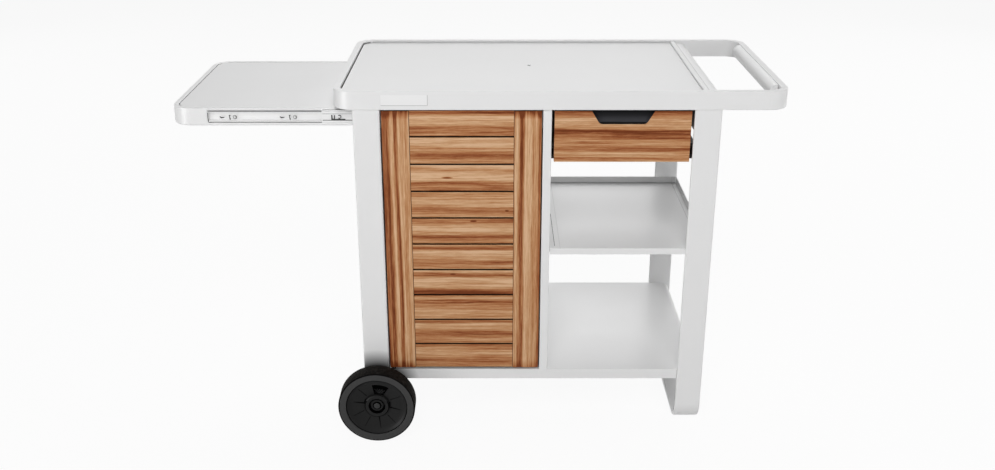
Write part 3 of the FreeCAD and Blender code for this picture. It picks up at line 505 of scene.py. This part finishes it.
# Strip and rim round the worktop. Folded steel in the same white coat, with shade painted along the
# strip's far edge and on the rim's upright face behind the worktop, darkest at the rim's left
# corner.
sheet_gap = 0.0029
ledge_top, corner_top, rim_top = 0.8100, 0.8268, 0.8290
strip_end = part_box("worktop_strip")[1].x
paint(painted_shade_coat("strip_painted_shade", [(0.8, ("X", strip_end - 0.0026, strip_end - 0.0010))]),
      "worktop_strip")
rim_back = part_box("worktop_panel")[1].y + sheet_gap
rim_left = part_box("worktop_panel")[0].x - sheet_gap
behind = ("Y", rim_back - 0.0006, rim_back + 0.0010)
paint(painted_shade_coat("rim_painted_shade", [
    (0.30, behind, ("Z", ledge_top, rim_top), ("X", -1.0, strip_end)),
    (1.00, ("X", rim_left - 0.0010, rim_left + 0.0175),
     ("Y", rim_back - 0.0240, rim_back + 0.0010), ("Z", ledge_top, corner_top))]), "top_rim")


# Badge plate on the rim. A bare plate of white enamelled aluminium, stuck in a shallow stamping. A
# thin shadow is painted round its edge, darkest along its right and bottom sides.
plate_low, plate_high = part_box("badge_plate")
plate_shadow_edges = (("X", plate_low.x, 0.0010, 0.25), ("X", plate_high.x, -0.0020, 0.8),
               ("Z", plate_low.z, 0.0016, 0.9), ("Z", plate_high.z, -0.0008, 0.2))
enamel, nodes, links, shader = principled("enamelled_plate")
place, parts = object_axes(nodes, links)
edge = None
for axis, line, inwards, strength in plate_shadow_edges:
    shadow = spread(nodes, links, parts[axis], line + inwards, line + inwards * 0.3, 0.0, strength)
    edge = arithmetic(nodes, links, "MAXIMUM", edge, shadow) if edge else shadow
clouds = arithmetic(nodes, links, "MULTIPLY", noise(nodes, links, place, 40.0, 3.0), 0.06)
shade = ramp(nodes, links, arithmetic(nodes, links, "ADD", edge, clouds),
             [(0.0, grey(0.865)), (0.06, grey(0.85)), (1.0, grey(0.46))])
links.new(shade, shader.inputs["Base Color"])
shader.inputs["Roughness"].default_value = 0.3
rough_surface(nodes, links, shader, noise(nodes, links, place, 900.0, 2.0), 0.05, 0.0003)
paint(enamel, "badge_plate")


# Wheels. A hard black tyre is pressed on a moulded hub. The hub's dished face has ten sectors, one
# sunk window with a grille, and a boss with a deep recess for the cap. Black is painted as shade in
# thin lines between the sectors, in blocks beside the boss, on the window's floor, in the recess and
# on the boss's edge away from its top; the groove next to the tyre is a dark joint.
wheel_x, wheel_z = -0.2385, 0.090
wheel_face = -0.350
wheel_width = 0.044
hub_point = Vector((wheel_x, wheel_face, wheel_z))
tread_radius = 0.090
side_radius = 0.0868
hub_radius = 0.072
boss_radius = 0.0286
recess_radius = 0.0195
window_inner, window_outer = 0.0296, 0.056
sector = math.radians(36)
sector_shadow_start = math.radians(-7)
window_start = math.radians(-10.5)
window_sweep = math.radians(41.5)
dish_slope = 0.156
axle_bore = 0.00605
recess_floor = 0.020
window_floor = 0.0225
notch_turns = (math.radians(-67), math.radians(85))
shade_and_joint_index, collar_index = 1, 2
lines_round, lines_across = 25.0, 270.0
rubber_stops = [(0.0, grey(0.001)), (0.3, (0.026, 0.023, 0.021)), (0.42, grey(0.054)),
                (0.7, grey(0.060))]


def dish(radius):
    """How far the hub's face lies behind the wheel's face at this radius."""
    return 0.014 - (radius - boss_radius) * dish_slope


def spoke(turn, radius, depth):
    """The point of the wheel at this angle from the top, radius and depth behind its face."""
    return hub_point + Vector((math.sin(turn) * radius, depth, math.cos(turn) * radius))


def closed_loop(mesh, places):
    """Vertices at these places and the edges that join them in a ring."""
    points = [mesh.verts.new(place) for place in places]
    return points, [mesh.edges.new((points[i - 1], points[i])) for i in range(len(points))]


def turned(mesh, profile, steps, start=0.0, sweep=2 * math.pi):
    """Turn a closed profile of (radius, depth) about the axle, clockwise from the top."""
    points, edges = closed_loop(mesh, [spoke(start, radius, depth) for radius, depth in profile])
    bmesh.ops.spin(mesh, geom=points + edges, cent=hub_point, axis=(0.0, 1.0, 0.0), angle=sweep,
                   steps=steps, use_merge=sweep == 2 * math.pi, use_duplicate=False)


def finished(mesh, name, materials, body, slot, *nodes):
    """Close off a mesh: make it an object with its materials that rides on a body."""
    bmesh.ops.remove_doubles(mesh, verts=mesh.verts, dist=0.00001)
    bmesh.ops.recalc_face_normals(mesh, faces=mesh.faces)
    data = bpy.data.meshes.new(name)
    mesh.to_mesh(data)
    mesh.free()
    for material in materials:
        data.materials.append(material)
    data.shade_smooth()
    data.set_sharp_from_angle(angle=math.radians(32))
    piece = placed(name, data)
    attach(piece, body)
    if nodes:
        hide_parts(*nodes)


def points_of(made):
    """The vertices among the parts that an operator gives back."""
    return [part for part in made if isinstance(part, bmesh.types.BMVert)]


def mirrored(mesh, points):
    """Carry these points across to the other side of the cart."""
    bmesh.ops.scale(mesh, vec=(1.0, -1.0, 1.0), verts=points)


def both_sides(mesh):
    """Copy the shape to the other side of the cart too."""
    copy = bmesh.ops.duplicate(mesh, geom=mesh.verts[:] + mesh.edges[:] + mesh.faces[:])
    mirrored(mesh, points_of(copy["geom"]))


def tyre_material(name):
    """Matt black rubber. The tread is darker, with fine lines across it in both diagonals."""
    material, nodes, links, shader = principled(name)
    place, parts = object_axes(nodes, links)
    dx = arithmetic(nodes, links, "SUBTRACT", parts["X"], wheel_x)
    dz = arithmetic(nodes, links, "SUBTRACT", parts["Z"], wheel_z)
    square = sum_of_squares(nodes, links, dx, dz)
    tread = arithmetic(nodes, links, "GREATER_THAN", square, (tread_radius - 0.0006) ** 2)
    shoulder = arithmetic(nodes, links, "GREATER_THAN", square, side_radius ** 2)
    turn = arithmetic(nodes, links, "ARCTAN2", dx, dz)
    along = arithmetic(nodes, links, "MULTIPLY", turn, lines_round)
    width = arithmetic(nodes, links, "MULTIPLY", parts["Y"], lines_across)
    ridges = None
    for diagonal in ("ADD", "SUBTRACT"):
        lines = arithmetic(nodes, links, diagonal, along, width)
        lines = arithmetic(nodes, links, "PINGPONG", lines, 0.5)
        ridges = arithmetic(nodes, links, "MINIMUM", ridges, lines) if ridges else lines
    ridges = arithmetic(nodes, links, "MULTIPLY", ridges, tread)
    mottle = spread(nodes, links, noise(nodes, links, place, 140.0, 2.0), 0.3, 0.7, 0.46, 0.62)
    darker = arithmetic(nodes, links, "MULTIPLY", shoulder, 0.55)
    lighter = arithmetic(nodes, links, "MULTIPLY", ridges, 0.75)
    shade = arithmetic(nodes, links, "SUBTRACT", mottle, darker)
    shade = arithmetic(nodes, links, "ADD", shade, lighter)
    links.new(ramp(nodes, links, shade, rubber_stops), shader.inputs["Base Color"])
    shader.inputs["Roughness"].default_value = 0.75
    shader.inputs["Specular IOR Level"].default_value = 0.03
    speckle = arithmetic(nodes, links, "MULTIPLY", noise(nodes, links, place, 2200.0, 2.0), 0.05)
    height = arithmetic(nodes, links, "ADD", ridges, speckle)
    rough_surface(nodes, links, shader, height, 0.5, 0.0006)
    return material


# Painted shadow lines between the sectors and painted shade blocks beside the boss, as (inner
# radius, outer radius, inner width, outer width); the third and eighth lines are the widest.
narrow_sector_shadow = (0.0345, 0.0620, 0.0013, 0.0008)
middling_sector_shadow = (boss_radius + 0.0005, 0.0600, 0.0024, 0.0010)
wide_sector_shadow = (boss_radius + 0.0005, 0.0560, 0.0036, 0.0010)
wider_sector_shadows = {3: wide_sector_shadow, 5: middling_sector_shadow, 8: wide_sector_shadow}
notch = (boss_radius, boss_radius + 0.0028, 0.0125, 0.0115)


def swing(mesh, points, angle, axis):
    """Turn these points about an axis through the origin."""
    bmesh.ops.rotate(mesh, verts=points, cent=(0, 0, 0), matrix=Matrix.Rotation(angle, 3, axis))


def sector_shadow(mesh, turn, inner, outer, inner_width, outer_width):
    """A narrow line, black as painted shadow, that tapers outwards, let into the dished face."""
    middle = (inner + outer) / 2
    half_diagonal = 0.707
    thickness = 0.0008
    made = bmesh.ops.create_cone(mesh, cap_ends=True, cap_tris=False, segments=4,
                                 depth=outer - inner, radius1=inner_width * half_diagonal,
                                 radius2=outer_width * half_diagonal)
    corners = made["verts"]
    swing(mesh, corners, math.radians(45), "Z")
    bmesh.ops.scale(mesh, verts=corners, vec=(1.0, thickness / inner_width, 1.0))
    swing(mesh, corners, math.atan(dish_slope), "X")
    bmesh.ops.translate(mesh, verts=corners, vec=(0.0, dish(middle), middle))
    swing(mesh, corners, turn, "Y")
    bmesh.ops.translate(mesh, verts=corners, vec=hub_point)
    for face in {face for corner in corners for face in corner.link_faces}:
        face.material_index = shade_and_joint_index


def lattice(mesh, turn, lean):
    """One slanting bar of the grille at the foot of the window."""
    made = bmesh.ops.create_cone(mesh, cap_ends=True, cap_tris=False, segments=6,
                                 radius1=0.0008, radius2=0.0008, depth=0.013)
    bars = made["verts"]
    swing(mesh, bars, lean, "Y")
    bmesh.ops.translate(mesh, verts=bars, vec=(0.0, 0.0190, 0.0350))
    swing(mesh, bars, turn, "Y")
    bmesh.ops.translate(mesh, verts=bars, vec=hub_point)


def from_axle(face):
    """A face's angle in degrees from the top, its radius and its depth behind the wheel's face."""
    away = face.calc_center_median() - hub_point
    return math.degrees(math.atan2(away.x, away.z)), math.hypot(away.x, away.z), away.y


def hub(mesh):
    """The hub: turned with its window left open, then the window's walls, the painted shade, the
    dark lines and the grille.
    """
    core = [(axle_bore, recess_floor), (0.0168, recess_floor), (recess_radius, recess_floor),
            (recess_radius, 0.0080), (recess_radius + 0.0008, 0.0070), (0.0268, 0.0070),
            (boss_radius, 0.0086), (boss_radius, dish(boss_radius)),
            (window_inner, dish(window_inner))]
    rim = [(window_outer, dish(window_outer)), (0.0655, dish(0.0655)), (0.0675, 0.0068),
           (0.0700, 0.0034), (0.0708, 0.0030), (hub_radius - 0.0003, 0.0034),
           (hub_radius - 0.0003, 0.0406), (0.071, 0.041), (0.066, 0.037), (boss_radius, 0.031),
           (0.022, 0.0437), (axle_bore, 0.0437)]
    sunk = [(window_inner, window_floor), (window_outer, window_floor)]
    window_end = window_start + window_sweep
    turned(mesh, core + rim, 72, window_end, 2 * math.pi - window_sweep)
    turned(mesh, core + sunk + rim, 9, window_start, window_sweep)
    for turn in (window_start, window_end):
        wall = (core[-1], sunk[0], sunk[1], rim[0])
        mesh.faces.new([mesh.verts.new(spoke(turn, radius, depth)) for radius, depth in wall])
    bmesh.ops.remove_doubles(mesh, verts=mesh.verts, dist=0.00001)
    # The window's floor, the recess and the boss's edge away from its top take the black as painted
    # shade; the groove next to the tyre is a dark joint.
    for face in mesh.faces:
        turn, radius, depth = from_axle(face)
        sunk_face = (window_inner - 0.0002 < radius < window_outer + 0.0002
                     and dish(radius) + 0.003 < depth < window_floor + 0.0001)
        recess = (0.0166 < radius < recess_radius + 0.0001
                  and 0.0075 < depth < recess_floor + 0.0002)
        boss_edge = (0.0270 < radius < boss_radius - 0.0002 and 0.0072 < depth < 0.0085
                     and abs(turn) > 60)
        outer_groove = radius > 0.0702 and depth < 0.01
        if sunk_face or recess or boss_edge or outer_groove:
            face.material_index = shade_and_joint_index
    for number in range(2, 10):
        sector_shadow(mesh, sector_shadow_start + number * sector, *wider_sector_shadows.get(number, narrow_sector_shadow))
    for turn in notch_turns:
        sector_shadow(mesh, turn, *notch)
    for share in (0.2, 0.4, 0.6, 0.8):
        for lean in (0.6, -0.6):
            lattice(mesh, window_start + window_sweep * share, lean)


def tyre(mesh):
    """The tyre: one half of its profile from the hub to the tread, and the same again behind."""
    half = [(hub_radius, 0.0012), (0.0729, 0.0002), (0.0745, 0.0), (side_radius, 0.0),
            (0.0893, 0.0006), (tread_radius, 0.0020)]
    turned(mesh, half + [(radius, wheel_width - depth) for radius, depth in reversed(half)], 120)


def cap(mesh):
    """The push-on cap: a crown, a groove round it painted black as shade, and a collar."""
    turned(mesh, [(0.0003, 0.0087), (0.0058, 0.0087), (0.0070, 0.0093), (0.0074, 0.0104),
                  (0.0074, 0.0130), (0.0100, 0.0130), (0.0104, 0.0118), (0.0140, 0.0118),
                  (0.0145, 0.0123), (0.0145, 0.0156), (0.0061, 0.0156), (0.0061, 0.0105),
                  (0.0003, 0.0105)], 40)
    for face in mesh.faces:
        radius, depth = from_axle(face)[1:]
        if radius > 0.0072 and depth < 0.0140:
            face.material_index = shade_and_joint_index if radius < 0.0103 else collar_index


shade_and_joint_black = moulded("shade_and_joint_black", grey(0.0030), grey(0.0020), 0.9, 1500.0, 0.0)
cap_plastic = moulded("cap_plastic", grey(0.034), grey(0.028), 0.5, 1500.0, 0.15)
hub_plastic = moulded("hub_moulded_plastic", grey(0.0110), grey(0.0085), 0.50, 1300.0, 0.12)
rubber = tyre_material("tyre_rubber")
wheel_parts = ((tyre, "_tyre", "tyre", [rubber]),
               (hub, "_wheel_hub", "hub_plastic", [hub_plastic, shade_and_joint_black]))
for side in ("front", "back"):
    for shape, ending, slot, materials in wheel_parts:
        node = side + ending
        mesh = bmesh.new()
        shape(mesh)
        if side == "back":
            mirrored(mesh, mesh.verts)
        finished(mesh, node + "_formed", materials, side + "_wheel", slot, node)
mesh = bmesh.new()
cap(mesh)
both_sides(mesh)
finished(mesh, "axle_caps_formed", [cap_plastic, shade_and_joint_black, hub_plastic], "frame", "black_plastic",
         "axle_caps")


# Wheel shadow. A shadow of each wheel is painted on the front and back faces of the leg bars and of
# the bottom shelf beside it; it fades away from the wheel.
shadow_x, shadow_z = wheel_x - 0.0035, wheel_z + 0.005
shadow_full, shadow_gone = 0.062, 0.105
facing_wheel = 0.2595
wheel_shadow_coat, nodes, links, shader = principled("wheel_shadow_coat")
place, parts = object_axes(nodes, links)
dx = arithmetic(nodes, links, "SUBTRACT", parts["X"], shadow_x)
dz = arithmetic(nodes, links, "SUBTRACT", parts["Z"], shadow_z)
away = arithmetic(nodes, links, "POWER", sum_of_squares(nodes, links, dx, dz), 0.5)
wheel_shadow = spread(nodes, links, away, shadow_full, shadow_gone, 1.0, 0.0)
outwards = arithmetic(nodes, links, "ABSOLUTE", parts["Y"], 0.0)
outwards = arithmetic(nodes, links, "GREATER_THAN", outwards, facing_wheel)
wheel_shadow = arithmetic(nodes, links, "MULTIPLY", wheel_shadow, outwards)
clouds = arithmetic(nodes, links, "MULTIPLY", noise(nodes, links, place, 3.0, 4.0), 0.03)
shade = ramp(nodes, links, arithmetic(nodes, links, "ADD", wheel_shadow, clouds),
             [(0.0, coat_white), (1.0, grey(0.03))])
links.new(shade, shader.inputs["Base Color"])
coat_surface(nodes, links, shader, place)
paint(wheel_shadow_coat, "left_front_leg", "left_back_leg", "bottom_shelf")


# Middle members of the side table's slides. Zinc-plated steel, cold rolled, with round edges that
# hold the balls. Thin dark bars along their tracks and along their top edge are painted shadow.
slide_front = -0.2393
slide_z = 0.7625


def drawn_out(mesh, corners, way):
    """Draw a flat outline out this way; gives back its vertices and the far ones."""
    near = [mesh.verts.new(corner) for corner in corners]
    made = bmesh.ops.extrude_face_region(mesh, geom=[mesh.faces.new(near)])
    far = points_of(made["geom"])
    bmesh.ops.translate(mesh, verts=far, vec=way)
    return near, far


def eased(mesh, edges, offset, segments):
    """Round these edges off."""
    bmesh.ops.bevel(mesh, geom=edges, offset=offset, offset_type="OFFSET", segments=segments,
                    profile=0.5, affect="EDGES", material=-1)


def rectangle(left, right, foot, top):
    """The corners of a rectangle."""
    return [(left, foot), (right, foot), (right, top), (left, top)]


def rolled(mesh, section, x0, x1, radius, segments):
    """A length of rolled section: closed outline of (depth, height), its corners rounded."""
    corners = [(x0, slide_front + depth, slide_z + height) for depth, height in section]
    near, far = drawn_out(mesh, corners, (x1 - x0, 0.0, 0.0))
    along = [edge for point in near for edge in point.link_edges if edge.other_vert(point) in far]
    eased(mesh, along, radius, segments)


slide_shade_grey = moulded("slide_painted_shade", grey(0.16), grey(0.08), 0.35, 900.0)
slide_shade_index = 1
web_half = 0.0133
lip_foot, lip_top = 0.0078, 0.0131
edge_top = 0.0180
member_low, member_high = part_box("table_slide_middles")
x0, x1 = member_low.x, member_high.x
shade_x0, shade_x1 = x0 + 0.002, x1 - 0.002
mesh = bmesh.new()
rolled(mesh, rectangle(0.0055, 0.0067, -web_half, web_half), x0, x1, 0.0002, 1)
for sign in (1, -1):
    rolled(mesh, rectangle(0.0030, 0.0101, sign * web_half, sign * edge_top), x0, x1, 0.0016, 4)
for sign in (1, -1):
    rolled(mesh, rectangle(0.0038, 0.0062, sign * lip_foot, sign * lip_top), x0, x1, 0.0006, 2)
steel_faces = len(mesh.faces)
# Thin dark bars along the tracks and the top edge: painted shadow.
for sign, thick in ((1, 0.0006), (-1, 0.0012)):
    rolled(mesh, rectangle(0.0046, 0.0056, sign * (lip_foot - thick), sign * lip_foot),
           shade_x0, shade_x1, 0.0001, 1)
rolled(mesh, rectangle(0.0028, 0.0034, 0.0167, 0.0178), shade_x0, shade_x1, 0.0001, 1)
mesh.faces.ensure_lookup_table()
for face in mesh.faces[steel_faces:]:
    face.material_index = slide_shade_index
both_sides(mesh)
finished(mesh, "table_slide_middles_formed", [zinc, slide_shade_grey], "table_middles", "zinc_steel",
         "table_slide_middles")


# Stampings of the table's slide members. A hook, a slot and a rimmed hole are stamped in the
# zinc-plated steel, twice over, in dark grey; dark bars along the member's edges and near end are
# painted shadow of the pocket it sits in.
def ring_shape(mesh, x, z, y, outer, inner, depth, opening=0.0):
    """A flat ring facing the front, whole or with an opening at its left."""
    centre = Vector((x, y, z))
    start = math.radians(180) - opening / 2
    section = ((inner, 0.0), (outer, 0.0), (outer, depth), (inner, depth))
    points, edges = closed_loop(mesh, [
        centre + Vector((math.cos(start) * radius, back, math.sin(start) * radius))
        for radius, back in section])
    made = bmesh.ops.spin(mesh, geom=points + edges, cent=centre, axis=(0.0, 1.0, 0.0),
                          angle=2 * math.pi - opening, steps=20, use_merge=opening == 0.0,
                          use_duplicate=False)
    if opening:
        mesh.faces.new(points)
        mesh.faces.new(points_of(made["geom_last"]))


def flat_shape(mesh, corners, y, depth, rounding):
    """A small pressed or moulded bar with this outline of (x, z), its front edges eased."""
    outline = [(x, y + depth, z) for x, z in corners]
    front = drawn_out(mesh, outline, (0.0, -depth, 0.0))[1]
    rim = [edge for edge in {edge for point in front for edge in point.link_edges}
           if all(point in front for point in edge.verts)]
    eased(mesh, rim, rounding, 2)


stamp_y = -0.2304
stamp_starts = (-0.5719, -0.4386)
stamp_depth = 0.0005
shadow_bar_end = -0.236
mesh = bmesh.new()
for x in stamp_starts:
    flat_shape(mesh, [(x, 0.7634), (x + 0.0036, 0.7616), (x + 0.0102, 0.7614), (x + 0.0102, 0.7598),
                      (x + 0.0030, 0.7586), (x, 0.7610)], stamp_y, stamp_depth, 0.0001)
    flat_shape(mesh, [(x + 0.0204, 0.7662), (x + 0.0240, 0.7662), (x + 0.0240, 0.7646),
                      (x + 0.0226, 0.7644), (x + 0.0226, 0.7594), (x + 0.0242, 0.7578),
                      (x + 0.0240, 0.7556), (x + 0.0214, 0.7558)], stamp_y, stamp_depth, 0.0001)
    ring_shape(mesh, x + 0.0337, 0.7613, stamp_y, 0.0045, 0.0036, 0.0004)
    ring_shape(mesh, x + 0.0345, 0.7608, stamp_y, 0.0026, 0.0018, 0.0004, math.radians(110))
inner_low, inner_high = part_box("table_slide_inners")
shadow_bar_start, inner_top = inner_low.x + 0.0012, inner_high.z
# Dark bars along the member's edges and near end: painted shadow.
for corners in (rectangle(shadow_bar_start, shadow_bar_end, inner_top - 0.0020, inner_top - 0.0005),
                rectangle(shadow_bar_start, shadow_bar_end, inner_low.z + 0.0001, inner_low.z + 0.0013),
                rectangle(inner_low.x + 0.0002, inner_low.x + 0.0014, inner_low.z + 0.0003,
                          inner_top - 0.0045)):
    flat_shape(mesh, corners, stamp_y - 0.0013, 0.0014, 0.0001)
both_sides(mesh)
stamp_and_shadow_grey = moulded("stamped_marks_and_shadow_bars", grey(0.075), grey(0.05), 0.5, 900.0)
finished(mesh, "table_slide_stampings", [stamp_and_shadow_grey], "table", "zinc_steel")


# Release levers of the table's slides. Moulded in black plastic and clipped in the middle members:
# a post with two prongs, a long foot along the channel, and an open spring ring.
lever_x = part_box("table_slide_latches")[0].x
lever_y = slide_front + 0.0034
foot = slide_z - 0.0068
mesh = bmesh.new()
flat_shape(mesh, [(lever_x, foot), (lever_x + 0.0310, foot), (lever_x + 0.0306, foot + 0.0026),
                  (lever_x + 0.0080, foot + 0.0024), (lever_x + 0.0080, foot + 0.0112),
                  (lever_x + 0.0062, foot + 0.0114), (lever_x + 0.0060, foot + 0.0030),
                  (lever_x + 0.0026, foot + 0.0030), (lever_x + 0.0024, foot + 0.0116),
                  (lever_x, foot + 0.0114)], lever_y, 0.0020, 0.0003)
ring_shape(mesh, lever_x + 0.0180, foot + 0.0076, lever_y, 0.0042, 0.0029, 0.0018, math.radians(90))
both_sides(mesh)
lever_plastic = moulded("lever_plastic", grey(0.075), grey(0.055), 0.45, 1500.0)
finished(mesh, "table_slide_latches_formed", [lever_plastic], "table_middles", "black_plastic",
         "table_slide_latches")


# Hand hold of the drawer. A black moulded scoop let into the notch in the front board; its floor
# rises from the lower lip back to the top. Its shade is painted: dark above, a painted highlight low
# down and a dark line along the lower lip.
notch_low, notch_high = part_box("drawer_grip_insert")
middle_x = (notch_low.x + notch_high.x) / 2
half_top = (notch_high.x - notch_low.x) / 2
half_foot = half_top - 0.019
scoop_front, scoop_back = notch_low.y - 0.0002, notch_high.y
foot_rounding, foot_steps = 0.008, 6
lip_width = 0.0007
mesh = bmesh.new()
outline = [(middle_x - half_top, notch_high.z), (middle_x - half_foot, notch_low.z),
           (middle_x + half_foot, notch_low.z), (middle_x + half_top, notch_high.z)]
drawn_out(mesh, [(x, scoop_back, z) for x, z in outline], (0.0, scoop_front - scoop_back, 0.0))
feet = [edge for edge in mesh.edges
        if all(abs(point.co.z - notch_low.z) < 1e-6 for point in edge.verts)
        and abs(edge.verts[0].co.y - edge.verts[1].co.y) > 0.001]
eased(mesh, feet, foot_rounding, foot_steps)
opening = min(mesh.faces, key=lambda face: face.calc_center_median().y)
bmesh.ops.inset_region(mesh, faces=[opening], thickness=lip_width, depth=0.0)
for inwards, floor_rise in ((0.0030, 0.00192), (0.0040, 0.0032), (0.0030, 0.0056)):
    made = bmesh.ops.extrude_face_region(mesh, geom=[opening])
    pushed = points_of(made["geom"])
    new_opening = [part for part in made["geom"] if isinstance(part, bmesh.types.BMFace)][0]
    if opening.is_valid:
        bmesh.ops.delete(mesh, geom=[opening], context="FACES_ONLY")
    opening = new_opening
    bmesh.ops.translate(mesh, verts=pushed, vec=(0.0, inwards, 0.0))
    for point in pushed:
        if point.co.z < notch_high.z - 0.004:
            point.co.z += floor_rise
# Painted shade of the scoop, from the lower lip up: a dark line, a painted highlight, then darker to
# the top.
scoop_shade_stops = [(0.0, grey(0.009)), (0.13, grey(0.011)), (0.17, (0.050, 0.050, 0.056)),
               (0.55, (0.019, 0.019, 0.021)), (0.95, (0.004, 0.004, 0.0045))]
scoop_plastic_painted_shade, nodes, links, shader = principled("scoop_plastic_painted_shade")
place, parts = object_axes(nodes, links)
rise = spread(nodes, links, parts["Z"], notch_low.z, notch_high.z)
patches = arithmetic(nodes, links, "MULTIPLY", noise(nodes, links, place, 18.0, 3.0), 0.04)
shade = ramp(nodes, links, arithmetic(nodes, links, "ADD", rise, patches), scoop_shade_stops)
links.new(shade, shader.inputs["Base Color"])
shader.inputs["Roughness"].default_value = 0.45
shader.inputs["Specular IOR Level"].default_value = 0.06
rough_surface(nodes, links, shader, noise(nodes, links, place, 1400.0, 3.0), 0.18, 0.0004)
finished(mesh, "drawer_grip_insert_formed", [scoop_plastic_painted_shade], "drawer", "black_plastic",
         "drawer_grip_insert")


# Shade in the joints of the two tops. A black strip lies in the gap between each sheet and its rim,
# a little below the surface, and stands in for the shade in the gap.
gap_shade_rubber = moulded("gap_shade_rubber", grey(0.016), grey(0.010), 0.8, 900.0, 0.05)
corner_radius = 0.0299
end_gap = 0.004


def gap_shade_strip(name, body, node, width, below, depth):
    """A strip round a sheet's left end and long sides, following its rounded corners."""
    low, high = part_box(node)
    mesh = bmesh.new()
    bmesh.ops.create_grid(mesh, x_segments=1, y_segments=1, size=0.5)
    size = Vector((high.x - low.x + 2 * width, high.y - low.y + 2 * width, 1.0))
    bmesh.ops.scale(mesh, vec=size, verts=mesh.verts)
    middle = (low + high) / 2
    bmesh.ops.translate(mesh, vec=(middle.x, middle.y, high.z - below), verts=mesh.verts)
    bmesh.ops.bevel(mesh, geom=mesh.verts[:], offset=corner_radius, offset_type="OFFSET",
                    segments=10, profile=0.5, affect="VERTICES", material=-1)
    sheet = mesh.faces[:]
    bmesh.ops.inset_region(mesh, faces=sheet, thickness=width, depth=0.0, use_even_offset=True,
                           use_boundary=True)
    bmesh.ops.delete(mesh, geom=sheet, context="FACES_ONLY")
    made = bmesh.ops.extrude_face_region(mesh, geom=mesh.faces[:])
    bmesh.ops.translate(mesh, vec=(0.0, 0.0, -depth), verts=points_of(made["geom"]))
    cut = bmesh.ops.bisect_plane(mesh, geom=mesh.verts[:] + mesh.edges[:] + mesh.faces[:],
                                 plane_co=(high.x - end_gap, 0.0, 0.0), plane_no=(1.0, 0.0, 0.0),
                                 clear_outer=True)
    ends = [part for part in cut["geom_cut"] if isinstance(part, bmesh.types.BMEdge)]
    bmesh.ops.holes_fill(mesh, edges=ends, sides=8)
    finished(mesh, name, [gap_shade_rubber], body, "black_plastic")


gap_shade_strip("worktop_gap_shade", "frame", "worktop_panel", sheet_gap, 0.0006, 0.004)
gap_shade_strip("table_gap_shade", "table", "table_panel", 0.0014, 0.0001, 0.001)


# Joint shade of the middle shelf. A thin black strip of the same rubber lies in the joint between
# the shelf and the angle on the divider and stands in for the shade in the joint.
strip_size = (0.0008, 0.206, 0.0012)
strip_middle = (0.1767, -0.140, 0.4582)
mesh = bmesh.new()
bmesh.ops.create_cube(mesh, size=1.0)
bmesh.ops.scale(mesh, vec=strip_size, verts=mesh.verts)
bmesh.ops.translate(mesh, vec=strip_middle, verts=mesh.verts)
eased(mesh, mesh.edges[:], 0.0001, 1)
finished(mesh, "shelf_joint_shade", [gap_shade_rubber], "frame", "black_plastic")


# Edge ring of the worktop's fixing hole. A thin black ring lies in the hole's edge and stands in
# for the shade there.
hole = Vector((0.1207, 0.0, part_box("worktop_panel")[1].z))
ring_section = ((0.0028, 0.0), (0.0037, 0.0), (0.0035, 0.0003), (0.0029, 0.0003))
mesh = bmesh.new()
points, edges = closed_loop(mesh, [hole + Vector((radius, 0.0, height))
                                   for radius, height in ring_section])
bmesh.ops.spin(mesh, geom=points + edges, cent=hole, axis=(0.0, 0.0, 1.0), angle=2 * math.pi,
               steps=24, use_merge=True, use_duplicate=False)
finished(mesh, "fixing_hole_ring", [gap_shade_rubber], "frame", "black_plastic")
